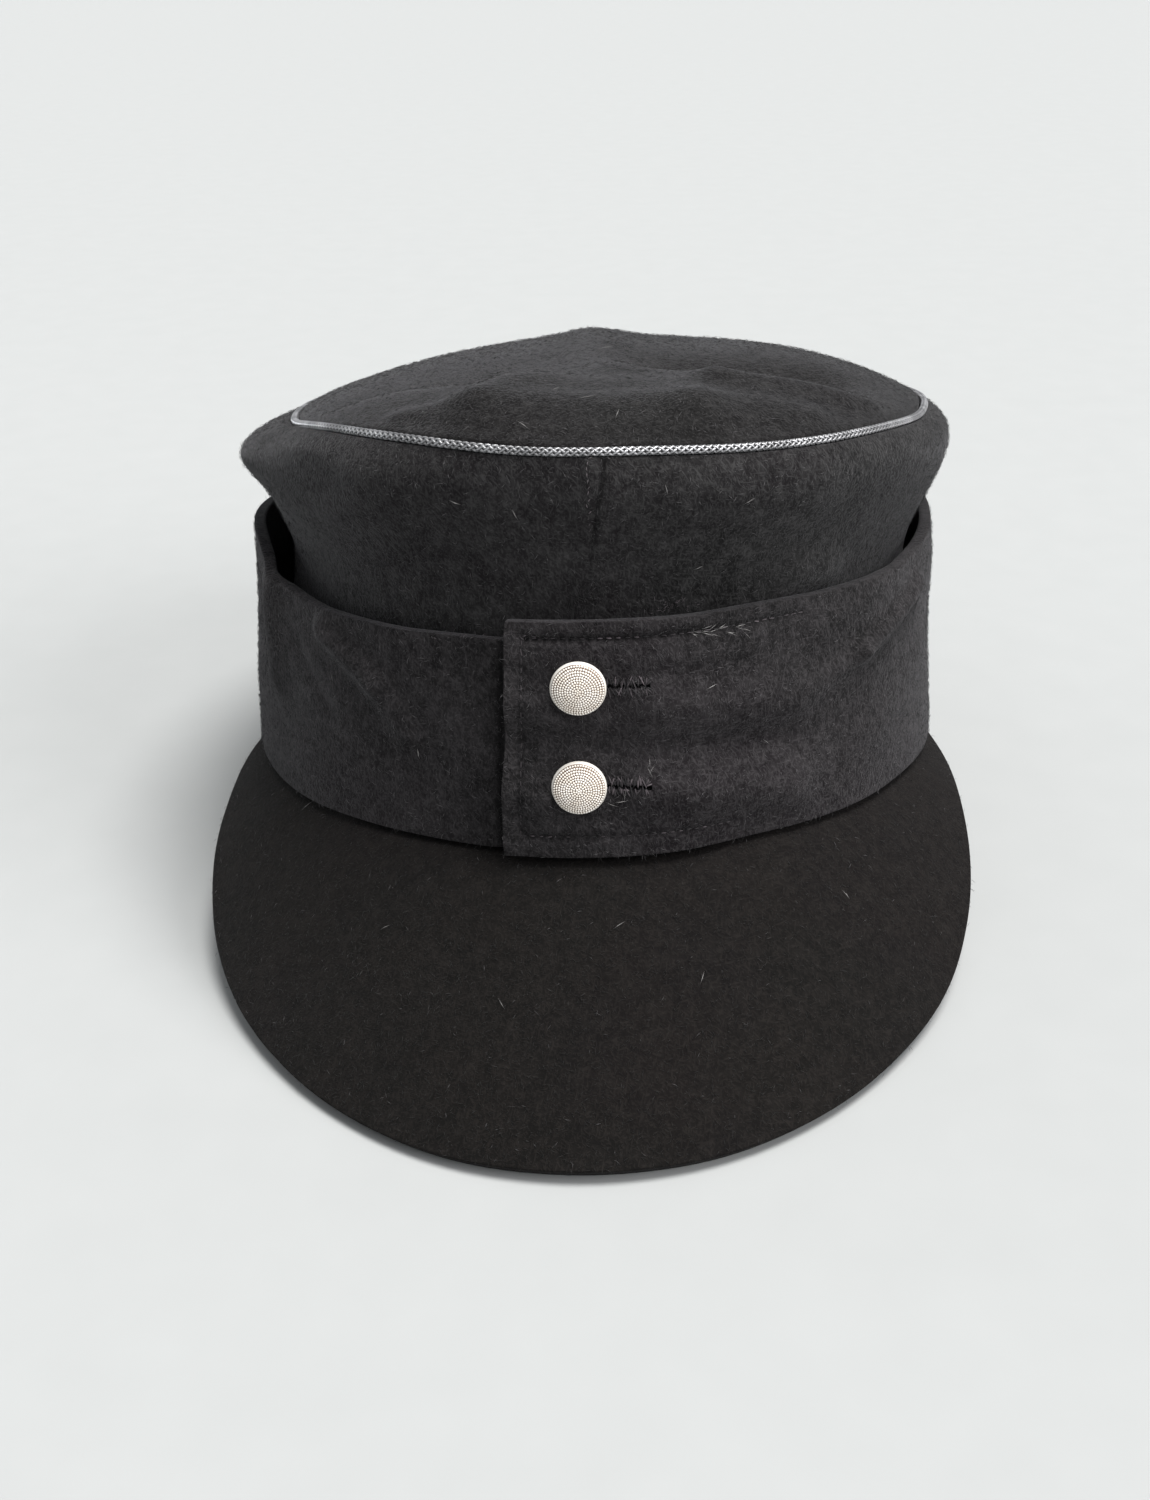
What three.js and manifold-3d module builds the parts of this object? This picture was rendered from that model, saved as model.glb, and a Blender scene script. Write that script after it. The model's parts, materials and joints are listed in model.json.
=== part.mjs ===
// A field cap of black wool: a soft crown with a cord in its top seam, a turned-up flap that buttons in
// front, and a stiff cloth-covered peak. Millimetres, +Z up, the peak towards -Y. Left and right are as
// seen from the front. The cap is drawn upright on its rim, and then leans back until it rests on the
// peak's edge and the back of the rim.
import * as THREE from "three";
import Module from "manifold-3d";
import { mergeVertices } from "three/addons/utils/BufferGeometryUtils.js";

const { clamp, degToRad, lerp, radToDeg, smoothstep } = THREE.MathUtils;
const wasm = await Module();
wasm.setup();

// The head opening, measured on the outside of the crown's wall, from the widest place
const rimHalfWidth = 85.5;
const rimFront = 105;
const rimBack = 101;

// The crown: two side panels joined by an upright seam in front and behind, and a top panel
const crownCloth = 2.4;
const crownHeight = 91;
const crownFlare = 9;
const crownRise = 13;
const frontSeamFoot = -6;
const frontSeamHead = 5;

// The cord in the crown's top seam, and how far it stands back from the wall's face, as a share of its radius
const pipingThickness = 2.2;
const pipingSetBack = 0.3;

// The flap, of doubled wool, turned up round the crown. Past the peak's corner its foot drops to the rim,
// between two turns in degrees.
const flapCloth = 3;
const flapHeight = 65.5;
const flapLift = 3.4;
const tabReach = 14.3;
const tabLean = 1.7;
const flapDropStart = 1.5;
const flapDropEnd = 14;
const underlap = 12;
const wrapEase = 26;

// The two buttons on the tab
const buttonDiameter = 12;
const buttonRise = 3.3;
const buttonRim = 0.5;
const buttonSpacing = 22.2;
const buttonAcross = -0.4;
const buttonRaise = 1.2;
const shankThickness = 1.8;
const buttonholeLength = 15;
const buttonholeSlit = 1;

// The peak
const peakLength = 72.6;
const peakThickness = 3.5;
const peakSlopeAngle = 44;
const peakTurnAngle = 83;
const peakArch = 5;
const peakShelf = 5.6;

// The gap that separate pieces keep
const clearance = 0.4;

const wool = { color: 0x1b1a1b, roughness: 0.95, metalness: 0 };
const materials = {
  crownWool: new THREE.MeshStandardMaterial(wool),
  flapWool: new THREE.MeshStandardMaterial(wool),
  peakWool: new THREE.MeshStandardMaterial(wool),
  silverBraid: new THREE.MeshStandardMaterial({ color: 0xb9bac0, roughness: 0.45, metalness: 0.6 }),
  buttonMetal: new THREE.MeshStandardMaterial({ color: 0xcfc5b8, roughness: 0.4, metalness: 0.8 }),
};

// How far the crown's wall stands out beyond the rim, by share of its height: shares of crownFlare
const bodySections = [
  { height: 0.0, front: 0.0, left: 0.0, right: 0.0, back: 0.0 },
  { height: 0.3, front: 0.02, left: -0.25, right: -0.1, back: -0.02 },
  { height: 0.55, front: 0.1, left: -0.7, right: -0.3, back: 0.0 },
  { height: 0.67, front: 0.25, left: -0.85, right: -0.15, back: 0.1 },
  { height: 0.76, front: 0.5, left: -0.45, right: 0.35, back: 0.3 },
  { height: 0.84, front: 0.75, left: 0.35, right: 0.75, back: 0.5 },
  { height: 0.91, front: 0.95, left: 0.78, right: 0.96, back: 0.6 },
  { height: 0.96, front: 1.05, left: 0.15, right: 0.85, back: 0.5 },
  { height: 1.0, front: 1.06, left: -1.0, right: 0.35, back: 0.3 },
];

// The height of the crown's top seam round the head: shares of crownHeight
const seamShares = { front: 1.0, left: 0.985, right: 0.985, back: 0.93 };

// Where the seam is pulled up or down besides: turn and wide in degrees, lift as a share of crownHeight
const seamLifts = [
  { turn: -36, wide: 20, lift: 0.03 },
  { turn: 24, wide: 16, lift: -0.006 },
];

// Soft hollows and swellings of the crown's wall: turn and wide in degrees, height and tall as shares of the
// crown's height, out as a share of crownFlare
const wallDents = [
  { turn: -8, height: 0.74, wide: 26, tall: 0.09, out: -0.1 },
  { turn: 24, height: 0.88, wide: 14, tall: 0.1, out: 0.1 },
  { turn: -34, height: 0.8, wide: 13, tall: 0.14, out: 0.14 },
  { turn: 52, height: 0.72, wide: 10, tall: 0.16, out: -0.16 },
  { turn: 150, height: 0.78, wide: 14, tall: 0.12, out: -0.2 },
  { turn: -150, height: 0.82, wide: 12, tall: 0.12, out: 0.18 },
];

// How full the top panel's curve is from its middle to its edge, as a power: a larger one has a steeper edge
const topFullness = { front: 4.4, left: 2.8, right: 3.6, back: 2.8 };

// The share of the way to its edge up to which the top panel is loose enough to fold
const topLoose = 0.84;

// Hollows and ridges of the top panel, each along a line between two places: across and width are shares of
// the rim's half width, along is a share of half its length, and rise is a share of crownRise
const topFolds = [
  { name: "left crest", across: [-0.58, -0.12], along: [-0.74, -0.84], width: 0.1, rise: 0.14 },
  { name: "right crest", across: [0.1, 0.36], along: [-0.6, -0.82], width: 0.1, rise: 0.12 },
  { name: "right brow", across: [0.36, 0.72], along: [-0.82, -0.62], width: 0.1, rise: 0.14 },
  { name: "left hollow", across: [-0.5, -0.2], along: [-0.46, -0.56], width: 0.16, rise: -0.16 },
  { name: "right hollow", across: [0.26, 0.56], along: [-0.5, -0.34], width: 0.16, rise: -0.15 },
  { name: "middle pinch", across: [0.0, 0.02], along: [-0.98, -0.78], width: 0.12, rise: -0.12 },
  { name: "back ridge", across: [-0.02, 0.02], along: [-0.3, 0.3], width: 0.16, rise: 0.16 },
  { name: "left slope", across: [-0.6, -0.55], along: [-0.1, 0.5], width: 0.2, rise: -0.08 },
];

// The height of the flap's top edge, by turn from the front: shares of flapHeight
const flapEdges = [
  { turn: 0, left: 0.795, right: 0.875 },
  { turn: 44, left: 0.81, right: 0.875 },
  { turn: 56, left: 0.88, right: 0.885 },
  { turn: 66, left: 0.95, right: 0.915 },
  { turn: 76, left: 0.98, right: 0.955 },
  { turn: 92, left: 0.99, right: 0.97 },
  { turn: 135, left: 0.95, right: 0.94 },
  { turn: 180, left: 0.92, right: 0.92 },
];

// How far the flap stands off the crown, by share of its height: shares of flapLift
const flapSections = [
  { height: 0.0, front: 0.1, left: 0.95, right: 1.15, back: 0.5 },
  { height: 0.15, front: 0.05, left: 0.8, right: 1.0, back: 0.4 },
  { height: 0.42, front: 0.0, left: 0.4, right: 0.65, back: 0.15 },
  { height: 0.66, front: 0.0, left: 0.05, right: 0.4, back: 0.1 },
  { height: 0.86, front: 0.02, left: 0.0, right: 0.35, back: 0.35 },
  { height: 1.0, front: 0.08, left: 0.0, right: 0.35, back: 0.6 },
];

// Folds that run across the flap between two places: turns in degrees, heights and width as shares of
// flapHeight, rise as a share of flapLift
const flapFolds = [
  { name: "left pull", turns: [-58, -36], heights: [0.8, 0.42], width: 0.15, rise: 0.45 },
  { name: "left drop", turns: [-66, -70], heights: [0.7, 0.36], width: 0.16, rise: 0.3 },
  { name: "right pull", turns: [72, 42], heights: [0.8, 0.6], width: 0.15, rise: 0.45 },
  { name: "right swell", turns: [66, 50], heights: [0.3, 0.38], width: 0.15, rise: 0.25 },
  { name: "tab upper row", turns: [-8, 24], heights: [0.68, 0.66], width: 0.14, rise: 0.22 },
  { name: "tab lower row", turns: [-8, 24], heights: [0.3, 0.3], width: 0.14, rise: 0.22 },
  { name: "back fold", turns: [118, 132], heights: [0.85, 0.3], width: 0.13, rise: 0.4 },
  { name: "back fold left", turns: [-116, -134], heights: [0.85, 0.35], width: 0.13, rise: 0.4 },
];

// The peak from its middle, across 0, to a corner, across 1: shares of peakLength and peakSlopeAngle.
const peakSections = [
  { across: 0.0, reach: 1.0, slope: 0.943 },
  { across: 0.12, reach: 0.982, slope: 0.958 },
  { across: 0.25, reach: 0.913, slope: 0.993 },
  { across: 0.37, reach: 0.82, slope: 1.018 },
  { across: 0.49, reach: 0.713, slope: 1.023 },
  { across: 0.6, reach: 0.573, slope: 0.96 },
  { across: 0.7, reach: 0.418, slope: 0.835 },
  { across: 0.8, reach: 0.284, slope: 0.715 },
  { across: 0.9, reach: 0.187, slope: 0.61 },
  { across: 1.0, reach: 0.098, slope: 0.5 },
];

// How finely the pieces are divided. A wall's first and last columns and rows are narrow, by these shares of
// its length or height, so that its edges stay crisp.
const crownGrid = { columns: 27, narrow: 0.008 };
const flapGrid = { columns: { left: 36, right: 40 }, narrow: 0.006, rows: 11, narrowRow: 0.03 };
const peakGrid = { columns: 34, narrow: 0.006 };
const crownRows = [0, 0.02, 0.2, 0.4, 0.56, 0.67, 0.76, 0.83, 0.89, 0.935, 0.968, 0.988, 1];
const peakRows = [0, 0.025, 0.15, 0.32, 0.5, 0.66, 0.8, 0.9, 0.96, 1];
const topRings = [1, 0.985, 0.93, 0.84, 0.72, 0.58, 0.42, 0.24];
const topSectors = 52;
const pipingSteps = 84;
const pipingSides = 6;
const buttonSides = 20;
const domeSteps = 5;

// A short step of a share or a turn, to measure a direction by
const tinyStep = 1e-3;

// The value of a table's column where its key is at a place, on a smooth curve through the rows.
function readTable(rows, key, column, place) {
  const last = rows.length - 1;
  let i = 0;
  while (i < last - 1 && place > rows[i + 1][key]) i++;
  const [a, b] = [rows[i], rows[i + 1]];
  const before = rows[Math.max(i - 1, 0)];
  const after = rows[Math.min(i + 2, last)];
  const span = b[key] - a[key];
  const share = clamp((place - a[key]) / span, 0, 1);
  const slopeAtA = (span * (b[column] - before[column])) / (b[key] - before[key]);
  const slopeAtB = (span * (after[column] - a[column])) / (after[key] - a[key]);
  const bend = share * share * (3 - 2 * share);
  const ease = share * (1 - share);
  return lerp(a[column], b[column], bend) + slopeAtA * ease * (1 - share) - slopeAtB * ease * share;
}

// Blends what holds in front, at the sides and behind into what holds at a turn.
function roundTheHead(turn, valueOf) {
  const ahead = Math.cos(turn);
  const beside = Math.sin(turn);
  const lengthwise = valueOf(ahead > 0 ? "front" : "back");
  const sideways = valueOf(beside < 0 ? "left" : "right");
  return ahead * ahead * lengthwise + beside * beside * sideways;
}

// A bell-shaped swelling, 1 at its middle.
const bell = (across, along = 0) => Math.exp(-(across * across + along * along));

// The distance of a point from the line between two others.
function awayFromLine(point, from, to) {
  return point.distanceTo(new THREE.Line3(from, to).closestPointToPoint(point, true, new THREE.Vector3()));
}

// A point round the head: turn 0 is in front and a quarter turn is at the right.
function ovalPoint(turn, out, z) {
  const reach = (Math.cos(turn) > 0 ? rimFront : rimBack) + out;
  return new THREE.Vector3((rimHalfWidth + out) * Math.sin(turn), -reach * Math.cos(turn), z);
}

function ovalNormal(turn, out) {
  const reach = (Math.cos(turn) > 0 ? rimFront : rimBack) + out;
  return new THREE.Vector3(reach * Math.sin(turn), -(rimHalfWidth + out) * Math.cos(turn), 0).normalize();
}

const turnAcross = (x) => Math.asin(x / rimHalfWidth);

// Shares from 0 to 1 with narrow first and last steps, so that a wall keeps crisp edges.
function edgedStops(count, edge) {
  const stops = [0, edge];
  for (let i = 1; i < count - 2; i++) stops.push(lerp(edge, 1 - edge, i / (count - 2)));
  return [...stops, 1 - edge, 1];
}

// One closed body between a face and a copy of it set back by the cloth. face(u, v) has u running to the
// right and v running upwards, seen from outside.
function clothWall(face, uStops, vStops, setBack) {
  const positions = [];
  for (const layer of [0, 1]) {
    for (const u of uStops) {
      for (const v of vStops) {
        const point = face(u, v);
        if (layer) point.add(setBack(u, v));
        positions.push(...point);
      }
    }
  }
  const [columns, rows] = [uStops.length, vStops.length];
  const id = (layer, i, j) => (layer * columns + i) * rows + j;
  const index = [];
  const quad = (a, b, c, d) => index.push(a, b, c, a, c, d);
  const [right, top] = [columns - 1, rows - 1];
  for (let i = 0; i < right; i++) {
    for (let j = 0; j < top; j++) {
      quad(id(0, i, j), id(0, i + 1, j), id(0, i + 1, j + 1), id(0, i, j + 1));
      quad(id(1, i, j), id(1, i, j + 1), id(1, i + 1, j + 1), id(1, i + 1, j));
    }
    quad(id(0, i + 1, 0), id(0, i, 0), id(1, i, 0), id(1, i + 1, 0));
    quad(id(0, i, top), id(0, i + 1, top), id(1, i + 1, top), id(1, i, top));
  }
  for (let j = 0; j < top; j++) {
    quad(id(0, right, j + 1), id(0, right, j), id(1, right, j), id(1, right, j + 1));
    quad(id(0, 0, j), id(0, 0, j + 1), id(1, 0, j + 1), id(1, 0, j));
  }
  return new THREE.BufferGeometry()
    .setAttribute("position", new THREE.Float32BufferAttribute(positions, 3))
    .setIndex(index);
}

// The outward direction of a face, from two short steps along it.
function faceNormal(face, u, v) {
  const along = face(u + tinyStep, v).sub(face(u - tinyStep, v));
  const up = face(u, v + tinyStep).sub(face(u, v - tinyStep));
  return along.cross(up).normalize();
}

// The crown's wall

// How far a turn is from another, in degrees, the short way round.
function degreesApart(turn, degrees) {
  const apart = turn - degToRad(degrees);
  return radToDeg(Math.atan2(Math.sin(apart), Math.cos(apart)));
}

function seamHeight(turn) {
  let share = roundTheHead(turn, (side) => seamShares[side]);
  for (const pull of seamLifts) share += pull.lift * bell(degreesApart(turn, pull.turn) / pull.wide);
  return crownHeight * share;
}

function bodyOut(turn, share) {
  let out = roundTheHead(turn, (side) => readTable(bodySections, "height", side, share));
  for (const dent of wallDents) {
    out += dent.out * bell(degreesApart(turn, dent.turn) / dent.wide, (share - dent.height) / dent.tall);
  }
  return crownFlare * out;
}

const bodyPoint = (turn, share) => ovalPoint(turn, bodyOut(turn, share), share * seamHeight(turn));

function crownSide(side) {
  const halfGap = clearance / 2 / rimHalfWidth;
  const seamTurn = (share) => turnAcross(lerp(frontSeamFoot, frontSeamHead, share));
  const [start, end] =
    side === "left"
      ? [() => -Math.PI + halfGap, (share) => seamTurn(share) - halfGap]
      : [(share) => seamTurn(share) + halfGap, () => Math.PI - halfGap];
  const face = (u, share) => bodyPoint(lerp(start(share), end(share), u), share);
  const setBack = (u, share) => {
    const normal = faceNormal(face, u, share);
    if (share === 0) normal.setZ(0).normalize();
    return normal.multiplyScalar(-crownCloth);
  };
  return clothWall(face, edgedStops(crownGrid.columns, crownGrid.narrow), crownRows, setBack);
}

// The cord in the seam, and the top panel behind it

const pipingRadius = pipingThickness / 2;

// Where the cord's middle runs: just past the end of the wall, and a little back from its face.
function pipingPoint(turn) {
  const up = bodyPoint(turn, 1).sub(bodyPoint(turn, 1 - tinyStep)).normalize();
  const along = bodyPoint(turn + tinyStep, 1).sub(bodyPoint(turn - tinyStep, 1)).normalize();
  const outward = along.cross(up).normalize();
  return bodyPoint(turn, 1)
    .addScaledVector(up, clearance + pipingRadius)
    .addScaledVector(outward, -pipingSetBack * pipingRadius);
}

class PipingCurve extends THREE.Curve {
  getPoint(share, target = new THREE.Vector3()) {
    return target.copy(pipingPoint(share * 2 * Math.PI));
  }
}

function crownPiping() {
  return new THREE.TubeGeometry(new PipingCurve(), pipingSteps, pipingRadius, pipingSides, true);
}

const topMiddle = new THREE.Vector3(0, (rimBack - rimFront) / 2, crownHeight + crownRise);

// How far the folds lift the top panel at a place.
function topFoldRise(point) {
  const halfLength = (rimFront + rimBack) / 2;
  const place = (across, along) => new THREE.Vector3(rimHalfWidth * across, halfLength * along, 0);
  const here = new THREE.Vector3(point.x, point.y, 0);
  let rise = 0;
  for (const fold of topFolds) {
    const from = place(fold.across[0], fold.along[0]);
    const to = place(fold.across[1], fold.along[1]);
    rise += fold.rise * bell(awayFromLine(here, from, to) / (rimHalfWidth * fold.width));
  }
  return crownRise * rise;
}

// The top panel's middle layer: reach 0 is its middle and reach 1 its edge, at the cord.
function topPoint(turn, reach) {
  const edge = pipingPoint(turn);
  const inward = new THREE.Vector3(topMiddle.x - edge.x, topMiddle.y - edge.y, 0).normalize();
  edge.addScaledVector(inward, pipingRadius + clearance);
  const point = topMiddle.clone().lerp(edge, reach);
  const dome = 1 - reach ** roundTheHead(turn, (side) => topFullness[side]);
  const loose = 1 - smoothstep(reach, topLoose, 1);
  return point.setZ(lerp(edge.z, topMiddle.z, dome) + loose * topFoldRise(point));
}

function crownTop() {
  const sectors = topSectors;
  const positions = [];
  for (const layer of [1, -1]) {
    const lift = (layer * crownCloth) / 2;
    for (const reach of topRings) {
      for (let i = 0; i < sectors; i++) {
        const point = topPoint((i / sectors) * 2 * Math.PI, reach);
        positions.push(point.x, point.y, point.z + lift);
      }
    }
    const middle = topPoint(0, 0);
    positions.push(middle.x, middle.y, middle.z + lift);
  }
  const inner = topRings.length - 1;
  const layerSize = topRings.length * sectors + 1;
  const id = (layer, ring, i) => layer * layerSize + ring * sectors + (i % sectors);
  const index = [];
  const quad = (a, b, c, d) => index.push(a, b, c, a, c, d);
  for (let i = 0; i < sectors; i++) {
    for (let ring = 0; ring < inner; ring++) {
      quad(id(0, ring, i), id(0, ring, i + 1), id(0, ring + 1, i + 1), id(0, ring + 1, i));
      quad(id(1, ring, i + 1), id(1, ring, i), id(1, ring + 1, i), id(1, ring + 1, i + 1));
    }
    index.push(id(0, inner, i), id(0, inner, i + 1), layerSize - 1);
    index.push(id(1, inner, i + 1), id(1, inner, i), 2 * layerSize - 1);
    quad(id(0, 0, i + 1), id(0, 0, i), id(1, 0, i), id(1, 0, i + 1));
  }
  return new THREE.BufferGeometry()
    .setAttribute("position", new THREE.Float32BufferAttribute(positions, 3))
    .setIndex(index);
}

// The flap

// The peak's seat on the crown's wall, under the flap, and how far round it reaches.
const peakSeat = clearance + peakThickness;
const peakTurn = degToRad(peakTurnAngle);

const flapEdge = (turn, side) => flapHeight * readTable(flapEdges, "turn", side, radToDeg(Math.abs(turn)));

// The flap's foot: at the rim behind, and just above the peak where the peak is.
function flapFoot(turn) {
  const pastPeak = Math.abs(turn) - peakTurn;
  return (peakSeat + clearance) * (1 - smoothstep(pastPeak, degToRad(flapDropStart), degToRad(flapDropEnd)));
}

// How far the folds lift the flap at a place.
function flapFoldRise(turn, z) {
  const radius = (rimHalfWidth + rimFront) / 2;
  const place = (foldTurn, height) => new THREE.Vector3(radius * degToRad(foldTurn), flapHeight * height, 0);
  const here = new THREE.Vector3(radius * turn, z, 0);
  let rise = 0;
  for (const fold of flapFolds) {
    const from = place(fold.turns[0], fold.heights[0]);
    const to = place(fold.turns[1], fold.heights[1]);
    rise += fold.rise * bell(awayFromLine(here, from, to) / (flapHeight * fold.width));
  }
  return flapLift * rise;
}

// The flap's inner face, as a distance out from the rim. It keeps at least clearance from the crown's wall.
function flapInner(turn, z) {
  const overWall = Math.max(0, bodyOut(turn, z / seamHeight(turn)));
  const lift = roundTheHead(turn, (side) => readTable(flapSections, "height", side, z / flapHeight));
  return overWall + clearance + Math.max(0, flapLift * lift + flapFoldRise(turn, z));
}

// The right flap passes over the left one's end and comes back to the wall beyond it.
function overlap(turn) {
  const wrapped = 1 - smoothstep(turn, turnAcross(underlap + flapCloth), turnAcross(underlap + wrapEase));
  return (flapCloth + clearance) * wrapped;
}

function flapOuter(turn, z, side) {
  return flapInner(turn, z) + flapCloth + (side === "right" ? overlap(turn) : 0);
}

const tabEdge = (share) => turnAcross(-tabReach - tabLean * (1 - share));

function flap(side) {
  const halfGap = clearance / 2 / rimHalfWidth;
  const [start, end] =
    side === "left"
      ? [() => -Math.PI + halfGap, () => turnAcross(underlap)]
      : [(share) => tabEdge(share), () => Math.PI - halfGap];
  const at = (u, share) => {
    const turn = lerp(start(share), end(share), u);
    return [turn, lerp(flapFoot(turn), flapEdge(turn, side), share)];
  };
  const face = (u, share) => {
    const [turn, z] = at(u, share);
    return ovalPoint(turn, flapOuter(turn, z, side), z);
  };
  const setBack = (u, share) => {
    const [turn, z] = at(u, share);
    const out = flapOuter(turn, z, side);
    return ovalPoint(turn, out - flapCloth, z).sub(ovalPoint(turn, out, z));
  };
  const columns = edgedStops(flapGrid.columns[side], flapGrid.narrow);
  return clothWall(face, columns, edgedStops(flapGrid.rows, flapGrid.narrowRow), setBack);
}

// The buttons and their holes

// The pair is centred on the tab, a little above its middle.
const buttonTurn = turnAcross(buttonAcross);
const buttonMiddle = (flapFoot(buttonTurn) + flapEdge(buttonTurn, "right")) / 2 + buttonRaise;
const buttonHeights = {
  upper: buttonMiddle + buttonSpacing / 2,
  lower: buttonMiddle - buttonSpacing / 2,
};
const eyeletRadius = shankThickness / 2 + clearance;

const tabFace = (turn, z) => ovalPoint(turn, flapOuter(turn, z, "right"), z);

// A frame on the tab's face at a button: its X axis runs along the tab and its Y axis points out.
function tabPlace(height) {
  const step = 0.5;
  const stepTurn = step / rimHalfWidth;
  const ahead = tabFace(buttonTurn + stepTurn, height);
  const along = ahead.sub(tabFace(buttonTurn - stepTurn, height)).normalize();
  const up = tabFace(buttonTurn, height + step).sub(tabFace(buttonTurn, height - step)).normalize();
  const outward = along.clone().cross(up).normalize();
  return new THREE.Matrix4()
    .makeBasis(along, outward, along.clone().cross(outward))
    .setPosition(tabFace(buttonTurn, height));
}

// How far a button's flat back stands off that frame, to clear the highest cloth under it.
function buttonStand(height) {
  const toFrame = tabPlace(height).invert();
  const radius = buttonDiameter / 2;
  let highest = 0;
  for (let i = 0; i < 24; i++) {
    const angle = (i / 24) * 2 * Math.PI;
    for (const reach of [radius / 2, radius]) {
      const turn = buttonTurn + (reach * Math.cos(angle)) / rimHalfWidth;
      const cloth = tabFace(turn, height + reach * Math.sin(angle)).applyMatrix4(toFrame);
      highest = Math.max(highest, cloth.y);
    }
  }
  return highest + clearance;
}

// A domed cap on a shank that ends just off the left flap, under the tab.
function buttonGeometry(height) {
  const back = buttonStand(height);
  const radius = buttonDiameter / 2;
  const profile = [
    new THREE.Vector2(0, -flapCloth),
    new THREE.Vector2(shankThickness / 2, -flapCloth),
    new THREE.Vector2(shankThickness / 2, back),
    new THREE.Vector2(radius - buttonRim, back),
    new THREE.Vector2(radius, back + buttonRim),
  ];
  for (let i = 1; i <= domeSteps; i++) {
    const angle = ((i / domeSteps) * Math.PI) / 2;
    const rise = lerp(buttonRim, buttonRise, Math.sin(angle));
    profile.push(new THREE.Vector2(i === domeSteps ? 0 : radius * Math.cos(angle), back + rise));
  }
  return new THREE.LatheGeometry(profile, buttonSides);
}

// A keyhole-shaped cutter through the tab, with its eyelet round the button's shank.
function buttonholeCutter(height) {
  const slit = buttonholeSlit / 2;
  const meet = Math.asin(slit / eyeletRadius);
  const outline = new THREE.Shape();
  outline.moveTo(buttonholeLength, -slit);
  outline.lineTo(buttonholeLength, slit);
  outline.absarc(0, 0, eyeletRadius, meet, 2 * Math.PI - meet, false);
  const depth = 4 * flapCloth;
  const cutter = new THREE.ExtrudeGeometry(outline, { depth, bevelEnabled: false, curveSegments: 6 });
  cutter.translate(0, 0, -depth / 2).rotateX(-Math.PI / 2);
  return cutter.applyMatrix4(tabPlace(height));
}

function toManifold(geometry) {
  const bare = geometry.clone().deleteAttribute("normal").deleteAttribute("uv");
  const merged = mergeVertices(bare, 1e-4);
  const mesh = new wasm.Mesh({
    numProp: 3,
    vertProperties: new Float32Array(merged.attributes.position.array),
    triVerts: new Uint32Array(merged.index.array),
  });
  return new wasm.Manifold(mesh);
}

function fromManifold(solid) {
  const mesh = solid.getMesh();
  return new THREE.BufferGeometry()
    .setAttribute("position", new THREE.BufferAttribute(new Float32Array(mesh.vertProperties), 3))
    .setIndex([...mesh.triVerts]);
}

function flapWithButtonholes() {
  let solid = toManifold(flap("right"));
  for (const height of Object.values(buttonHeights)) {
    solid = solid.subtract(toManifold(buttonholeCutter(height)));
  }
  return fromManifold(solid);
}

// The peak

function peakFace(u, v) {
  const across = 2 * u - 1;
  const turn = across * peakTurn;
  const row = (column) => readTable(peakSections, "across", column, Math.abs(across));
  const reach = peakLength * row("reach");
  const slope = degToRad(peakSlopeAngle * row("slope"));
  const outward = ovalNormal(turn, 0);
  const along = reach * (1 - v);
  const settle = (distance) => 1 - Math.exp(-distance / peakShelf);
  const arch = peakArch * (settle(along) - (settle(reach) * along) / reach);
  return ovalPoint(turn, clearance, peakSeat)
    .addScaledVector(outward, along * Math.cos(slope) + arch * Math.sin(slope))
    .add(new THREE.Vector3(0, 0, arch * Math.cos(slope) - along * Math.sin(slope)));
}

// v runs from the peak's edge up to the crown's wall, where the peak's end stands upright against it.
function peak() {
  const upright = new THREE.Vector3(0, 0, 1);
  const inside = (share) => clamp(share, 2 * tinyStep, 1 - 2 * tinyStep);
  const setBack = (u, v) => {
    const normal = faceNormal(peakFace, inside(u), inside(v));
    return normal.lerp(upright, smoothstep(v, 0.6, 0.9)).normalize().multiplyScalar(-peakThickness);
  };
  return clothWall(peakFace, edgedStops(peakGrid.columns, peakGrid.narrow), peakRows, setBack);
}

// The cap, upright on its rim

const cap = new THREE.Group();

function addPiece(name, geometry, material) {
  geometry.computeVertexNormals();
  const piece = new THREE.Mesh(geometry, material);
  piece.name = name;
  cap.add(piece);
  return piece;
}

addPiece("crown_side_left", crownSide("left"), materials.crownWool);
addPiece("crown_side_right", crownSide("right"), materials.crownWool);
addPiece("crown_top", crownTop(), materials.crownWool);
addPiece("crown_piping", crownPiping(), materials.silverBraid);
addPiece("flap_left", flap("left"), materials.flapWool);
addPiece("flap_right", flapWithButtonholes(), materials.flapWool);
addPiece("peak", peak(), materials.peakWool);
for (const [place, height] of Object.entries(buttonHeights)) {
  const button = addPiece(`button_${place}`, buttonGeometry(height), materials.buttonMetal);
  button.applyMatrix4(tabPlace(height));
}

// The lowest point of some pieces once the cap leans back by an angle.
function lowest(names, lean) {
  const point = new THREE.Vector3();
  let low = Infinity;
  for (const name of names) {
    const corners = cap.getObjectByName(name).geometry.getAttribute("position");
    for (let i = 0; i < corners.count; i++) {
      point.fromBufferAttribute(corners, i);
      low = Math.min(low, point.z * Math.cos(lean) - point.y * Math.sin(lean));
    }
  }
  return low;
}

// Leans the cap back until the peak's edge and the back of the rim are at one height.
function restingLean() {
  let [small, large] = [0, Math.PI / 4];
  for (let i = 0; i < 40; i++) {
    const lean = (small + large) / 2;
    const rim = lowest(["flap_left", "flap_right", "crown_side_left"], lean);
    [small, large] = lowest(["peak"], lean) < rim ? [lean, large] : [small, lean];
  }
  return (small + large) / 2;
}

cap.rotation.x = -restingLean();

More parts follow.
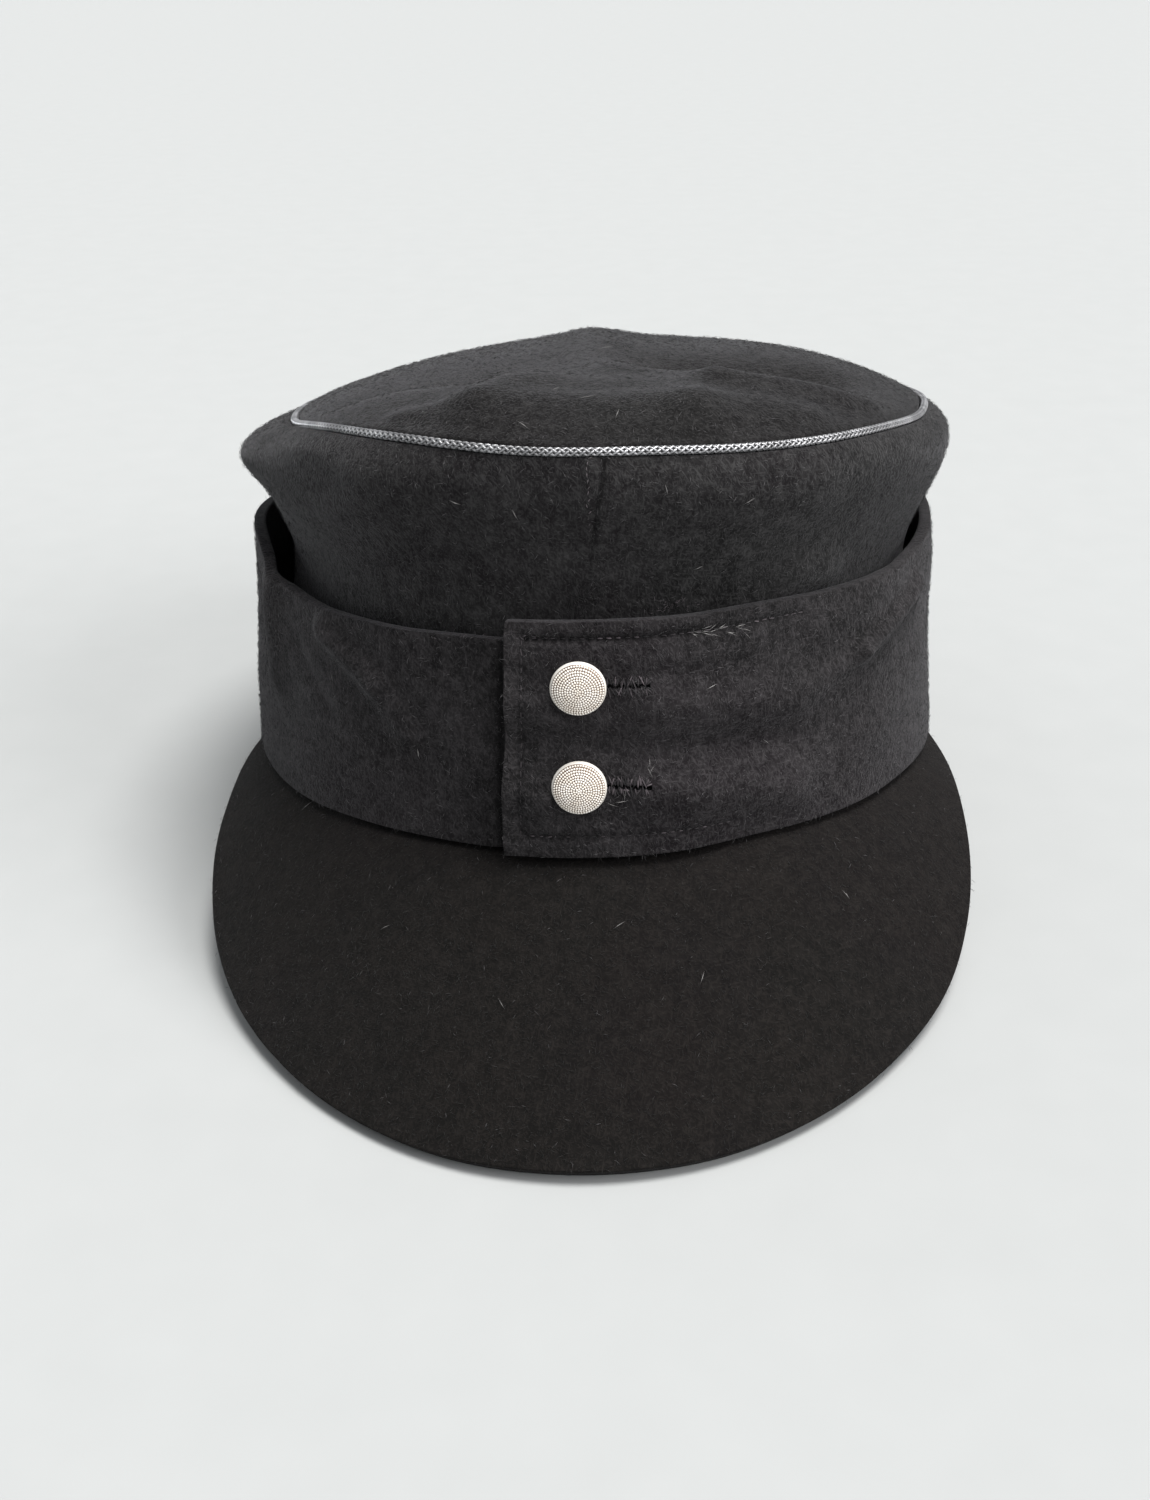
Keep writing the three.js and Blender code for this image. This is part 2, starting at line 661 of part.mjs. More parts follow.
// The part's origin is on the surface that the cap rests on, under the middle of its outline.
const part = new THREE.Group();
part.add(cap);
part.updateMatrixWorld(true);
const outline = new THREE.Box3().setFromObject(part, true);
const middle = outline.getCenter(new THREE.Vector3());
cap.position.set(-middle.x, -middle.y, -outline.min.z);

export default part;
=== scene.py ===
# %% [markdown]
# # Dressing a field cap in wool, thread and silver
# The frame is a plain, exact model of a soft black cap: a crown, a turned-up flap, a peak, a cord and two
# buttons. This lesson makes it look like the real one. Cloth needs softness, a nap and stitches. The cord
# needs its braid. The buttons need their pebbles. The frame keeps every size, so each finished piece stays
# where its plain one is.

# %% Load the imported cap
import json
import math

import bpy
import numpy as np
from mathutils import Matrix, Vector, noise
from mathutils.bvhtree import BVHTree
from mathutils.kdtree import KDTree

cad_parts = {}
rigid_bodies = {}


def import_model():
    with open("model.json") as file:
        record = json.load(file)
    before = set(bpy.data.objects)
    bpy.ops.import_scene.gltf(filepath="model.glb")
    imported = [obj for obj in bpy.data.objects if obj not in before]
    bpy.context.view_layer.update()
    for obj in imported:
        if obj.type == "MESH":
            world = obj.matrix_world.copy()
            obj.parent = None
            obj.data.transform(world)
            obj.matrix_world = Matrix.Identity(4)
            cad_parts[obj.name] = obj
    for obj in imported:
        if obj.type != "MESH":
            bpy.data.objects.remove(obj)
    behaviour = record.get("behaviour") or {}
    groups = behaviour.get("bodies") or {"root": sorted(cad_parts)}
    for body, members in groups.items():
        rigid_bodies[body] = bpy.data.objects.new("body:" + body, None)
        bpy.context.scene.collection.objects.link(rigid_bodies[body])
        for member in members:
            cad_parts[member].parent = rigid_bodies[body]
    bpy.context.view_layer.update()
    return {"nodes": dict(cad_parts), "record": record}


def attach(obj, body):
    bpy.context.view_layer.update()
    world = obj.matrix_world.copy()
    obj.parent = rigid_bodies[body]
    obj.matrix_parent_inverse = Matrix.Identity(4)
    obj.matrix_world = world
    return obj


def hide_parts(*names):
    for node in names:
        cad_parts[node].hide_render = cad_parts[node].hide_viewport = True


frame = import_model()
nodes = frame["nodes"]
print("the frame's nodes:", sorted(nodes))

# %% [markdown]
# The cap is drawn upright on its rim and rests leaning back, on its peak and the back of its rim. Heights
# and turns round the head are easier to think of in the upright cap, so this cell makes the way from one to
# the other. The record's rim mount gives both the lean and the place of the upright origin.

# %% The upright cap
MM = 0.001
mount = frame["record"]["mounts"][0]
lean = math.atan2(-mount["axis"][1], -mount["axis"][2])
seat = np.array([0, mount["pos_m"][1], mount["pos_m"][2]])
UPRIGHT = np.array(Matrix.Rotation(lean, 3, "X"))


def to_upright(points):
    """Row-frame points, in metres, as points of the upright cap, in millimetres."""
    return (np.asarray(points) - seat) @ UPRIGHT.T / MM


def from_upright(points):
    return np.asarray(points) * MM @ UPRIGHT + seat


print(f"the cap leans back by {math.degrees(lean):.2f} degrees")

# %% [markdown]
# The photograph was taken from a little above and in front, with the cap turned a little. The camera is set
# up by its own axes, in the upright cap: where it stands, which way it looks and how it is rolled. The cap
# isn't in the middle of the picture, and a small shift says so. The same camera then tells where a place in
# the picture lies on the cloth, and hairs and loose threads are put down that way.

# %% The camera
PICTURE = (1150, 1500)
FOCAL = 1573
MIDDLE = (595, 750)
camera_place = np.array([10.5, -429.9, 136.5])
turn, pitch, roll = math.radians(1.4), math.radians(18.7), math.radians(1)
across = np.array([math.cos(turn), math.sin(turn), 0])
ahead = np.array([-math.sin(turn) * math.cos(pitch), math.cos(turn) * math.cos(pitch), -math.sin(pitch)])
above = np.cross(across, ahead)
camera_right = across * math.cos(roll) - above * math.sin(roll)
camera_up = above * math.cos(roll) + across * math.sin(roll)

bpy.ops.object.camera_add(location=from_upright(camera_place))
camera = bpy.context.object
camera.data.lens = FOCAL / PICTURE[1] * camera.data.sensor_width
camera.data.shift_x = (PICTURE[0] / 2 - MIDDLE[0]) / PICTURE[1]
axes = np.array([camera_right, camera_up, -ahead]) @ UPRIGHT
camera.rotation_euler = Matrix(axes.T).to_euler()
bpy.context.scene.camera = camera


def sight_line(x, y):
    """The ray from the camera through a place of the picture: its start and direction, in the row frame."""
    direction = camera_right * (x - MIDDLE[0]) / FOCAL - camera_up * (y - MIDDLE[1]) / FOCAL + ahead
    return Vector(from_upright(camera_place)), Vector(direction @ UPRIGHT).normalized()


print(f"lens {camera.data.lens:.2f} mm, shift {camera.data.shift_x:.4f}")

# %% [markdown]
# Black wool shows its form only by soft light from above and a little in front, which catches the nap. A
# sun with a very wide disc is as soft as a lamp of any size and lights the whole floor evenly, so one
# stands for the window above, a weaker one for the window at the right, and a faint one at the left lights
# the edges there. A pale world fills the rest. The floor is plain and pale.

# %% Floor and light
def window(name, towards, strength, width, tone):
    """A soft sun in a direction of the upright cap. The width of its disc is in degrees."""
    facing = Vector(np.array(towards) @ UPRIGHT).to_track_quat("Z", "Y").to_euler()
    bpy.ops.object.light_add(type="SUN", location=(0, 0, 1), rotation=facing)
    lamp = bpy.context.object
    lamp.name = name
    lamp.data.energy = strength
    lamp.data.angle = math.radians(width)
    lamp.data.color = tone


window("window above", [0.26, -0.16, 1], 4.4, 30, (1, 0.985, 0.965))
window("window at the right", [0.95, -0.6, 0.5], 1.9, 35, (1, 0.985, 0.99))
window("window at the left", [-1, 0.5, 0.05], 1.3, 25, (0.95, 0.985, 1))

bpy.context.scene.world = bpy.data.worlds.new("pale room")
bpy.context.scene.world.use_nodes = True
room = bpy.context.scene.world.node_tree.nodes["Background"]
room.inputs["Color"].default_value = (0.95, 0.975, 1, 1)
room.inputs["Strength"].default_value = 0.5
bpy.context.scene.view_settings.view_transform = "Standard"

bpy.ops.mesh.primitive_plane_add(size=60)
floor = bpy.context.object
floor.name = "floor"
bpy.ops.object.transform_apply(location=True, rotation=True, scale=True)

# %% [markdown]
# A material is a small piece of arithmetic on places. This class wraps a socket, so that the sums below
# read as sums: each operator adds a Math node. Every other node comes from one method, which takes its
# settings and its inputs.

# %% Sums made of nodes
class Amount:
    """An output of a material's nodes. Arithmetic on it adds Math nodes."""

    def __init__(self, recipe, socket):
        self.recipe = recipe
        self.socket = socket

    def _sum(self, operation, first, second):
        return self.recipe.node("Math", {0: first, 1: second}, operation=operation)

    def __add__(self, other):
        return self._sum("ADD", self, other)

    def __mul__(self, other):
        return self._sum("MULTIPLY", self, other)

    def __sub__(self, other):
        return self._sum("SUBTRACT", self, other)

    def __rsub__(self, other):
        return self._sum("SUBTRACT", other, self)

    __radd__ = __add__
    __rmul__ = __mul__


class Recipe:
    """A material, made node by node."""

    def __init__(self, name):
        self.material = bpy.data.materials.new(name)
        self.material.use_nodes = True
        self.tree = self.material.node_tree
        self.shader = self.tree.nodes["Principled BSDF"]

    def node(self, kind, inputs=None, output=0, **settings):
        made = self.tree.nodes.new("ShaderNode" + kind)
        for key, value in settings.items():
            setattr(made, key, value)
        for key, value in (inputs or {}).items():
            self.feed(made.inputs[key], value)
        return Amount(self, made.outputs[output])

    def feed(self, socket, value):
        if isinstance(value, Amount):
            self.tree.links.new(value.socket, socket)
        else:
            socket.default_value = value

    def place(self):
        return self.node("TexCoord", output="Object")

    def noise(self, where, scale, detail=2, roughness=0.5):
        inputs = {"Vector": where, "Scale": scale, "Detail": detail, "Roughness": roughness}
        return self.node("TexNoise", inputs)

    def between(self, amount, low, high):
        """0 below low, 1 above high, and a smooth climb between them."""
        inputs = {"Value": amount, "From Min": low, "From Max": high}
        return self.node("MapRange", inputs, interpolation_type="SMOOTHSTEP")

    def blend(self, factor, first, second):
        """A colour between two colours."""
        inputs = {0: factor, 6: first, 7: second}
        return self.node("Mix", inputs, output=2, data_type="RGBA")

    def finish(self, **sockets):
        """Sets the shader's sockets by name, with _ for a space."""
        for key, value in sockets.items():
            self.feed(self.shader.inputs[key.replace("_", " ").title().replace("Ior", "IOR")], value)
        return self.material


def colour(red, green, blue):
    return (red, green, blue, 1)


# %% [markdown]
# Felted wool is a mat of short fibres that lie every way. In the shader they are four noises, each
# stretched along its own direction, and the strongest one wins. They feed both the colour, as paler
# threads, and a fine bump. Slow noises mottle the black, with a breath of violet and brown, as wool dyed
# black has. Sheen stands for the nap that lights up where the cloth turns away.

# %% Wool
FIBRE_ACROSS = 1900
FIBRE_ALONG = 420
FIBRE_TURNS = [(0, 0.1, 0.5), (0, 1.5, 0.4), (0, 0.8, -0.3), (0, -0.7, 1.3)]


def wool(name, dark, pale, sheen, sheen_roughness=0.3):
    """Black wool between two tones."""
    recipe = Recipe(name)
    place = recipe.place()
    strands = 0
    for turns in FIBRE_TURNS:
        size = (1 / FIBRE_ALONG, 1 / FIBRE_ACROSS, 1 / FIBRE_ACROSS)
        laying = {"Vector": place, "Rotation": turns, "Scale": size}
        laid = recipe.node("Mapping", laying, vector_type="TEXTURE")
        strand = recipe.between(recipe.noise(laid, 1, 2), 0.52, 0.7)
        strands = recipe.node("Math", {0: strands, 1: strand}, operation="MAXIMUM")
    clumps = recipe.noise(place, 330, 3, 0.6)
    mottle = recipe.between(recipe.noise(place, 45, 3, 0.55), 0.3, 0.7)
    tint = recipe.between(recipe.noise(place, 17, 1), 0.42, 0.66)
    tone = 0.5 * strands + 0.3 * recipe.between(clumps, 0.35, 0.7) + 0.2 * mottle
    black = recipe.blend(tone, colour(*dark), colour(*pale))
    violet = recipe.blend(tone, colour(dark[0] * 1.2, dark[1] * 0.92, dark[2] * 1.12), colour(*pale))
    # The attribute read here holds painted shade: where it is set the wool is painted nearly black, in the
    # tab's stitch rows, the hollow beside the tab and the crown's front seam.
    pressed_and_painted_shade = recipe.node("Attribute", output="Fac", attribute_name="pressed_and_painted_shade")
    shade = recipe.blend(pressed_and_painted_shade, recipe.blend(tint, black, violet), colour(0.0015, 0.0014, 0.0015))
    height = 0.6 * strands + 0.5 * clumps
    bump = recipe.node("Bump", {"Height": height, "Strength": 0.55, "Distance": 0.35 * MM})
    recipe.finish(
        base_color=shade,
        roughness=0.9 + 0.1 * mottle,
        normal=bump,
        specular_ior_level=0.15,
        sheen_weight=sheen,
        sheen_roughness=sheen_roughness,
        sheen_tint=colour(0.85, 0.85, 0.9),
    )
    return recipe.material


crown_wool = wool("crown wool", (0.0044, 0.0043, 0.0044), (0.0435, 0.0424, 0.0428), 0.14)
flap_wool = wool("flap wool", (0.0043, 0.0040, 0.0042), (0.0435, 0.0402, 0.0421), 0.11)
# The peak is cut from the same wool as the rest; its darker colour is painted shade, to keep its slope dark
# under the light from above.
peak_wool = wool("peak wool", (0.0020, 0.0018, 0.0016), (0.0127, 0.0109, 0.0100), 0.02)
top_wool = wool("top wool", (0.0022, 0.0021, 0.0021), (0.026, 0.0252, 0.0252), 0.22)

# %% [markdown]
# The thread is a shade blacker and smoother than the wool. Hairs of the nap each have a tone of their own,
# kept in an attribute of the mesh, because a few are pale and most are nearly black.

# %% Thread, hair and floor
def strand_material(name, dark, pale, roughness, sheen):
    """Thin strands whose own tone runs from dark to pale."""
    recipe = Recipe(name)
    tone = recipe.node("Attribute", output="Fac", attribute_name="tone")
    grain = recipe.noise(recipe.place(), 2500, 1)
    shade = recipe.blend(tone, colour(*dark), colour(*pale))
    bump = recipe.node("Bump", {"Height": grain, "Strength": 0.3, "Distance": 0.05 * MM})
    recipe.finish(
        base_color=shade,
        roughness=roughness + 0.1 * grain,
        normal=bump,
        specular_ior_level=0.3,
        sheen_weight=sheen,
    )
    return recipe.material


nap_hair = strand_material("nap hair", (0.006, 0.0058, 0.006), (0.14, 0.135, 0.14), 0.7, 0.05)
black_thread = strand_material("black thread", (0.006, 0.005, 0.006), (0.12, 0.10, 0.11), 0.5, 0.1)
pale_lint = strand_material("pale lint", (0.10, 0.098, 0.096), (0.40, 0.39, 0.38), 0.6, 0.0)

paper = Recipe("floor paper")
grain = paper.noise(paper.place(), 60, 2)
paper.finish(
    base_color=paper.blend(grain, colour(0.365, 0.375, 0.375), colour(0.385, 0.395, 0.395)),
    roughness=0.85 + 0.05 * grain,
    specular_ior_level=0.2,
)
floor.data.materials.append(paper.material)

# %% [markdown]
# Most work by hand starts with the same few moves: pick one object, open it, pick some of its faces, and
# close it again. An operator acts on whatever is picked, so these helpers let go of everything first.

# %% Hands
def only(*objects):
    """Lets go of everything, picks these objects, and makes the first one active."""
    bpy.ops.object.select_all(action="DESELECT")
    for obj in objects:
        obj.select_set(True)
    bpy.context.view_layer.objects.active = objects[0]


def open_up(obj, kind="VERT"):
    """Opens an object for editing with all of it picked."""
    only(obj)
    bpy.ops.object.mode_set(mode="EDIT")
    bpy.ops.mesh.select_mode(type=kind)
    bpy.ops.mesh.select_all(action="SELECT")


def close_up():
    bpy.ops.object.mode_set(mode="OBJECT")


def corners(obj):
    flat = np.empty(len(obj.data.vertices) * 3)
    obj.data.vertices.foreach_get("co", flat)
    return flat.reshape(-1, 3)


def set_corners(obj, points):
    obj.data.vertices.foreach_set("co", np.asarray(points).ravel())
    obj.data.update()


def normals(obj):
    flat = np.empty(len(obj.data.vertices) * 3)
    obj.data.vertices.foreach_get("normal", flat)
    return flat.reshape(-1, 3)


def add_modifier(obj, kind, **settings):
    """Adds a modifier, sets it and applies it."""
    only(obj)
    bpy.ops.object.modifier_add(type=kind)
    modifier = obj.modifiers[-1]
    for key, value in settings.items():
        setattr(modifier, key, value)
    bpy.ops.object.modifier_apply(modifier=modifier.name)


def settle(obj, material, slot, *stands_for):
    """Gives a finished piece its material and body, and hides the plain nodes that it stands for. Its slot is
    not used.
    """
    obj.data.materials.clear()
    obj.data.materials.append(material)
    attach(obj, "root")
    if stands_for:
        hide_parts(*stands_for)
    triangles = sum(len(face.vertices) - 2 for face in obj.data.polygons)
    print(f"{obj.name}: {triangles} triangles")


# %% [markdown]
# Each cloth piece starts as a copy of its plain node. The copy's loose triangles are merged and paired into
# four-sided faces, and subdivision rounds it. Then one slow wave goes through the whole cap. It moves
# space, not one piece, so walls keep their thickness and neighbours stay clear of each other. The wave is
# three noises whose places come from a seed. Without one they come from the clock, and the cap would be
# another one each time.

# %% Soft cloth from the plain nodes
WAVE_SIZE = 1 / 34
WAVE_HEIGHT = 0.55
WAVE_SEED = 5
FLOOR_FADE = 9
noise.seed_set(WAVE_SEED)


def wave(points):
    """Row-frame points after the slow wave, which fades out towards the floor."""
    upright = to_upright(points)
    shift = np.array([noise.noise_vector(Vector(point) * WAVE_SIZE) for point in upright])
    fade = np.clip(np.asarray(points)[:, 2] / MM / FLOOR_FADE, 0, 1)
    return from_upright(upright + shift * (WAVE_HEIGHT * fade * fade)[:, None])


# Where a point is round the head: the turn from the front, how far out from the rim's oval, and the height
RIM_HALF_WIDTH = 85.5
RIM_FRONT = 105
RIM_BACK = 101


def round_head(points):
    """Row-frame points as turn in radians, out and height in millimetres. Turns to the right are positive."""
    x, y, z = to_upright(points).T
    reach = np.where(y < 0, RIM_FRONT, RIM_BACK)
    low, high = np.full(len(x), -80.0), np.full(len(x), 120.0)
    for _ in range(30):
        out = (low + high) / 2
        outside = (x / (RIM_HALF_WIDTH + out)) ** 2 + (y / (reach + out)) ** 2 > 1
        low, high = np.where(outside, out, low), np.where(outside, high, out)
    return np.arctan2(x / (RIM_HALF_WIDTH + out), -y / (reach + out)), out, z


def cloth_copy(node, name, levels=2, crease=0.6):
    piece = bpy.data.objects.new(name, nodes[node].data.copy())
    bpy.context.scene.collection.objects.link(piece)
    open_up(piece)
    bpy.ops.mesh.remove_doubles(threshold=0.002 * MM)
    bpy.ops.mesh.customdata_custom_splitnormals_clear()
    bpy.ops.mesh.mark_sharp(clear=True)
    bpy.ops.mesh.tris_convert_to_quads(face_threshold=math.radians(60), shape_threshold=math.radians(60))
    bpy.ops.mesh.select_all(action="DESELECT")
    bpy.ops.mesh.select_mode(type="EDGE")
    bpy.ops.mesh.edges_select_sharp(sharpness=math.radians(50))
    bpy.ops.transform.edge_crease(value=crease)
    close_up()
    bpy.ops.object.shade_smooth()
    add_modifier(piece, "SUBSURF", levels=levels, render_levels=levels)
    set_corners(piece, wave(corners(piece)))
    return piece


def let_out(piece, by=0.5):
    """Lets a wall out round the head by what its rounding took away."""
    points = corners(piece)
    turns = round_head(points)[0]
    outward = np.column_stack([np.sin(turns), -np.cos(turns), np.zeros(len(turns))])
    set_corners(piece, from_upright(to_upright(points) + outward * by))


crown_left = cloth_copy("crown_side_left", "crown_cloth_left")
crown_right = cloth_copy("crown_side_right", "crown_cloth_right")
crown_top = cloth_copy("crown_top", "crown_cloth_top")
flap_left = cloth_copy("flap_left", "flap_cloth_left")
flap_right = cloth_copy("flap_right", "flap_cloth_right")
peak = cloth_copy("peak", "peak_cloth")
for piece in (crown_left, crown_right, flap_left, flap_right):
    let_out(piece)
for piece in (crown_left, crown_right, crown_top, flap_left, flap_right, peak):
    print(piece.name, len(piece.data.polygons), "faces")

# %% [markdown]
# The cord's middle line is read from its plain node, whose rings of six corners are told apart by their
# turn round the head. A smooth closed curve goes through their middles. It is kept in a search tree as
# well, because the crown's edges have to know how near they are to the cord.

# %% The line of the cord
def ring_centres(node, count=84, sides=6):
    """The middles of a plain cord's rings, in order round the head."""
    points = np.unique(np.round(corners(nodes[node]), 7), axis=0)
    turns = round_head(points)[0]
    half_step = math.pi / count
    order = np.argsort((turns + half_step) % (2 * math.pi))
    return points[order].reshape(count, sides, 3).mean(axis=1)


def closed_curve(points, steps):
    """Smooth points through a closed ring of points, with so many steps between each two."""
    share = np.linspace(0, 1, steps, endpoint=False)[:, None]
    before, after, later = np.roll(points, 1, 0), np.roll(points, -1, 0), np.roll(points, -2, 0)
    parts = []
    for a, b, c, d in zip(before, points, after, later):
        bend = (2 * a - 5 * b + 4 * c - d) * share**2 + (3 * b - a - 3 * c + d) * share**3
        parts.append(b + 0.5 * ((c - a) * share + bend))
    return np.concatenate(parts)


cord_line = closed_curve(wave(ring_centres("crown_piping")), 16)
cord_tree = KDTree(len(cord_line))
for i, point in enumerate(cord_line):
    cord_tree.insert(point, i)
cord_tree.balance()

# %% [markdown]
# Small folds and seams need finer faces than the rest, so the cloth in front is cut finer first, on its
# outer face only.

# %% Finer faces in front
def pick_faces(obj, chosen):
    open_up(obj, "FACE")
    bpy.ops.mesh.select_all(action="DESELECT")
    close_up()
    obj.data.polygons.foreach_set("select", np.asarray(chosen, dtype=bool))
    bpy.ops.object.mode_set(mode="EDIT")


def face_places(obj):
    count = len(obj.data.polygons)
    centres, facings = np.empty(count * 3), np.empty(count * 3)
    obj.data.polygons.foreach_get("center", centres)
    obj.data.polygons.foreach_get("normal", facings)
    return centres.reshape(-1, 3), facings.reshape(-1, 3)


def outwardness(points, facings):
    """How far directions at some points face away from the head: 1 straight out and -1 straight in."""
    turns = round_head(points)[0]
    outward = np.column_stack([np.sin(turns), -np.cos(turns), np.zeros(len(turns))]) @ UPRIGHT
    return (facings * outward).sum(axis=1)


def cut_finer(piece, low_turn, high_turn, cuts, low_height=-20, high_height=200):
    """Cuts a wall's outer faces finer between two turns, in degrees, and two heights."""
    centres, facings = face_places(piece)
    centre_turns, _, centre_heights = round_head(centres)
    inside = (centre_turns > math.radians(low_turn)) & (centre_turns < math.radians(high_turn))
    inside &= (centre_heights > low_height) & (centre_heights < high_height)
    pick_faces(piece, inside & (outwardness(centres, facings) > 0.4))
    bpy.ops.mesh.subdivide(number_cuts=cuts)
    bpy.ops.mesh.select_less()
    bpy.ops.mesh.vertices_smooth(factor=0.5, repeat=4)
    close_up()
    print(piece.name, "has", len(piece.data.polygons), "faces now")


cut_finer(flap_left, -68, -8, 2)
cut_finer(flap_right, -20, 34, 3)
cut_finer(flap_right, 34, 72, 2)
cut_finer(crown_left, -9, 10, 3, 45)
cut_finer(crown_right, -9, 12, 3, 45)

# %% [markdown]
# A soft cap is never smooth. The tab swells beside its buttons and sinks between them, the flap is drawn
# into folds where it turns the corners of the brow, and the crown hangs out over the flap. Each fold is a
# line on the cloth with a width and a rise, in millimetres, and the cloth near it is lifted. Both faces of
# a wall move together. The places are turns round the head in degrees, the right side counted up, and
# heights over the rim.

# %% Folds of the flap and the crown
DEGREE = 1.66
LEFT_FOLDS = [
    {"name": "pull from the corner", "from": (-41.5, 48.5), "to": (-31, 39), "width": 3.0, "rise": 2.8},
    {"name": "its end", "from": (-31, 38), "to": (-26, 28), "width": 3.2, "rise": 1.1},
    {"name": "valley beside it", "from": (-49, 42), "to": (-41, 30), "width": 3.2, "rise": -0.9},
    {"name": "swell beside it", "from": (-56, 54), "to": (-57, 32), "width": 5.5, "rise": 2.4},
    {"name": "rest beside the tab", "from": (-26, 50), "to": (-15, 24), "width": 6, "rise": 0.6},
    {"name": "behind the ear", "from": (-112, 52), "to": (-128, 18), "width": 7, "rise": 1.5},
    {"name": "at the back", "from": (-160, 50), "to": (-150, 20), "width": 8, "rise": 0.9},
]
RIGHT_FOLDS = [
    {"name": "beside the upper button", "from": (9, 38.5), "to": (31, 34.5), "width": 6, "rise": 2.4},
    {"name": "beside the lower button", "from": (9, 19), "to": (31, 14), "width": 6.5, "rise": 2.4},
    {"name": "valley between them", "from": (-9, 31), "to": (30, 26.5), "width": 3.2, "rise": -1.3},
    {"name": "edge of the tab", "from": (-10.2, 54), "to": (-11, 8), "width": 2.6, "rise": 1.8},
    {"name": "under the upper row", "from": (-8, 49.5), "to": (24, 48.5), "width": 2.6, "rise": 0.8},
    {"name": "before the upper button", "from": (-9, 40), "to": (-5, 38), "width": 4.5, "rise": 1.5},
    {"name": "before the lower button", "from": (-9, 20), "to": (-5, 17), "width": 4.5, "rise": 1.5},
    {"name": "pull from the corner", "from": (61, 51), "to": (44, 41.5), "width": 2.5, "rise": 2.2},
    {"name": "its end", "from": (44, 41.5), "to": (35, 36), "width": 3.0, "rise": 0.9},
    {"name": "above it", "from": (54, 56), "to": (36, 50), "width": 5, "rise": 0.8},
    {"name": "swell under it", "from": (66, 34), "to": (46, 20), "width": 7, "rise": 1.1},
    {"name": "behind the ear", "from": (118, 52), "to": (130, 16), "width": 7, "rise": 1.4},
    {"name": "at the back", "from": (156, 48), "to": (163, 20), "width": 8, "rise": 0.8},
]
CROWN_FOLDS = [
    {"name": "brow", "from": (4, 82), "to": (32, 81), "width": 6.5, "rise": 1.4},
    {"name": "left brow", "from": (-34, 84), "to": (-12, 83), "width": 6, "rise": 0.7},
    {"name": "rest on the flap", "from": (32, 62), "to": (39, 61), "width": 4, "rise": 2.0},
    {"name": "lobe's shoulder", "from": (-100, 88), "to": (-70, 89), "width": 4, "rise": -1.2},
    {"name": "lobe's face", "from": (-58, 83), "to": (-36, 84), "width": 5.5, "rise": -2.8},
    {"name": "under the lobe", "from": (-88, 74), "to": (-62, 75), "width": 4, "rise": -2.4},
    {"name": "back hang", "from": (140, 68), "to": (170, 72), "width": 8, "rise": 1.0},
    {"name": "back hang left", "from": (-165, 70), "to": (-130, 70), "width": 8, "rise": 1.1},
]


def from_line(places, start, end):
    """How far places of a plane lie from the line between two of its points."""
    start, end = np.array(start, dtype=float), np.array(end, dtype=float)
    way = end - start
    share = np.clip(((places - start) @ way) / (way @ way), 0, 1)
    return np.linalg.norm(places - start - share[:, None] * way, axis=1)


def near_cord(points, none, all_of_it):
    """0 for points nearer to the cord than one distance, in millimetres, and 1 beyond another."""
    distances = np.array([cord_tree.find(point)[2] for point in points]) / MM
    return np.clip((distances - none) / (all_of_it - none), 0, 1)


def fold_cloth(piece, folds):
    """Lifts a wall's cloth away from the head along its folds."""
    points = corners(piece)
    turns, _, heights = round_head(points)
    places = np.column_stack([np.degrees(turns) * DEGREE, heights])
    rise = np.zeros(len(points))
    for fold in folds:
        ends = [(turn_there * DEGREE, height) for turn_there, height in (fold["from"], fold["to"])]
        rise += fold["rise"] * np.exp(-((from_line(places, *ends) / fold["width"]) ** 2))
    away = np.column_stack([np.sin(turns), -np.cos(turns), np.zeros(len(turns))])
    rise *= near_cord(points, 1.2, 4)
    set_corners(piece, from_upright(to_upright(points) + away * rise[:, None]))
    print(piece.name, "folded by up to", round(float(rise.max()), 2), "mm")


fold_cloth(crown_left, CROWN_FOLDS)
fold_cloth(crown_right, CROWN_FOLDS)
fold_cloth(flap_left, LEFT_FOLDS)
fold_cloth(flap_right, RIGHT_FOLDS)

# %% [markdown]
# The crown's left side rolls over in a full, round lobe. The copied wall has an edge there, so the points
# of the lobe are picked and smoothed among themselves a few times.

# %% Round the lobe
points = corners(crown_left)
turns, _, heights = round_head(points)
lobe = (turns > math.radians(-125)) & (turns < math.radians(-38)) & (heights > 62) & (heights < 88.5)
open_up(crown_left)
bpy.ops.mesh.select_all(action="DESELECT")
close_up()
crown_left.data.vertices.foreach_set("select", lobe)
bpy.ops.object.mode_set(mode="EDIT")
bpy.ops.mesh.vertices_smooth(factor=0.5, repeat=14)
close_up()
print("the lobe has", int(lobe.sum()), "points")

# %% [markdown]
# The top panel is too large for its seam, so it stands in two crests that run from the middle to the front
# corners, with a steep bank between them and the cord, and it sinks behind them. It is folded in the same
# way, with its places measured across and along the cap, in millimetres from the middle of the rim.

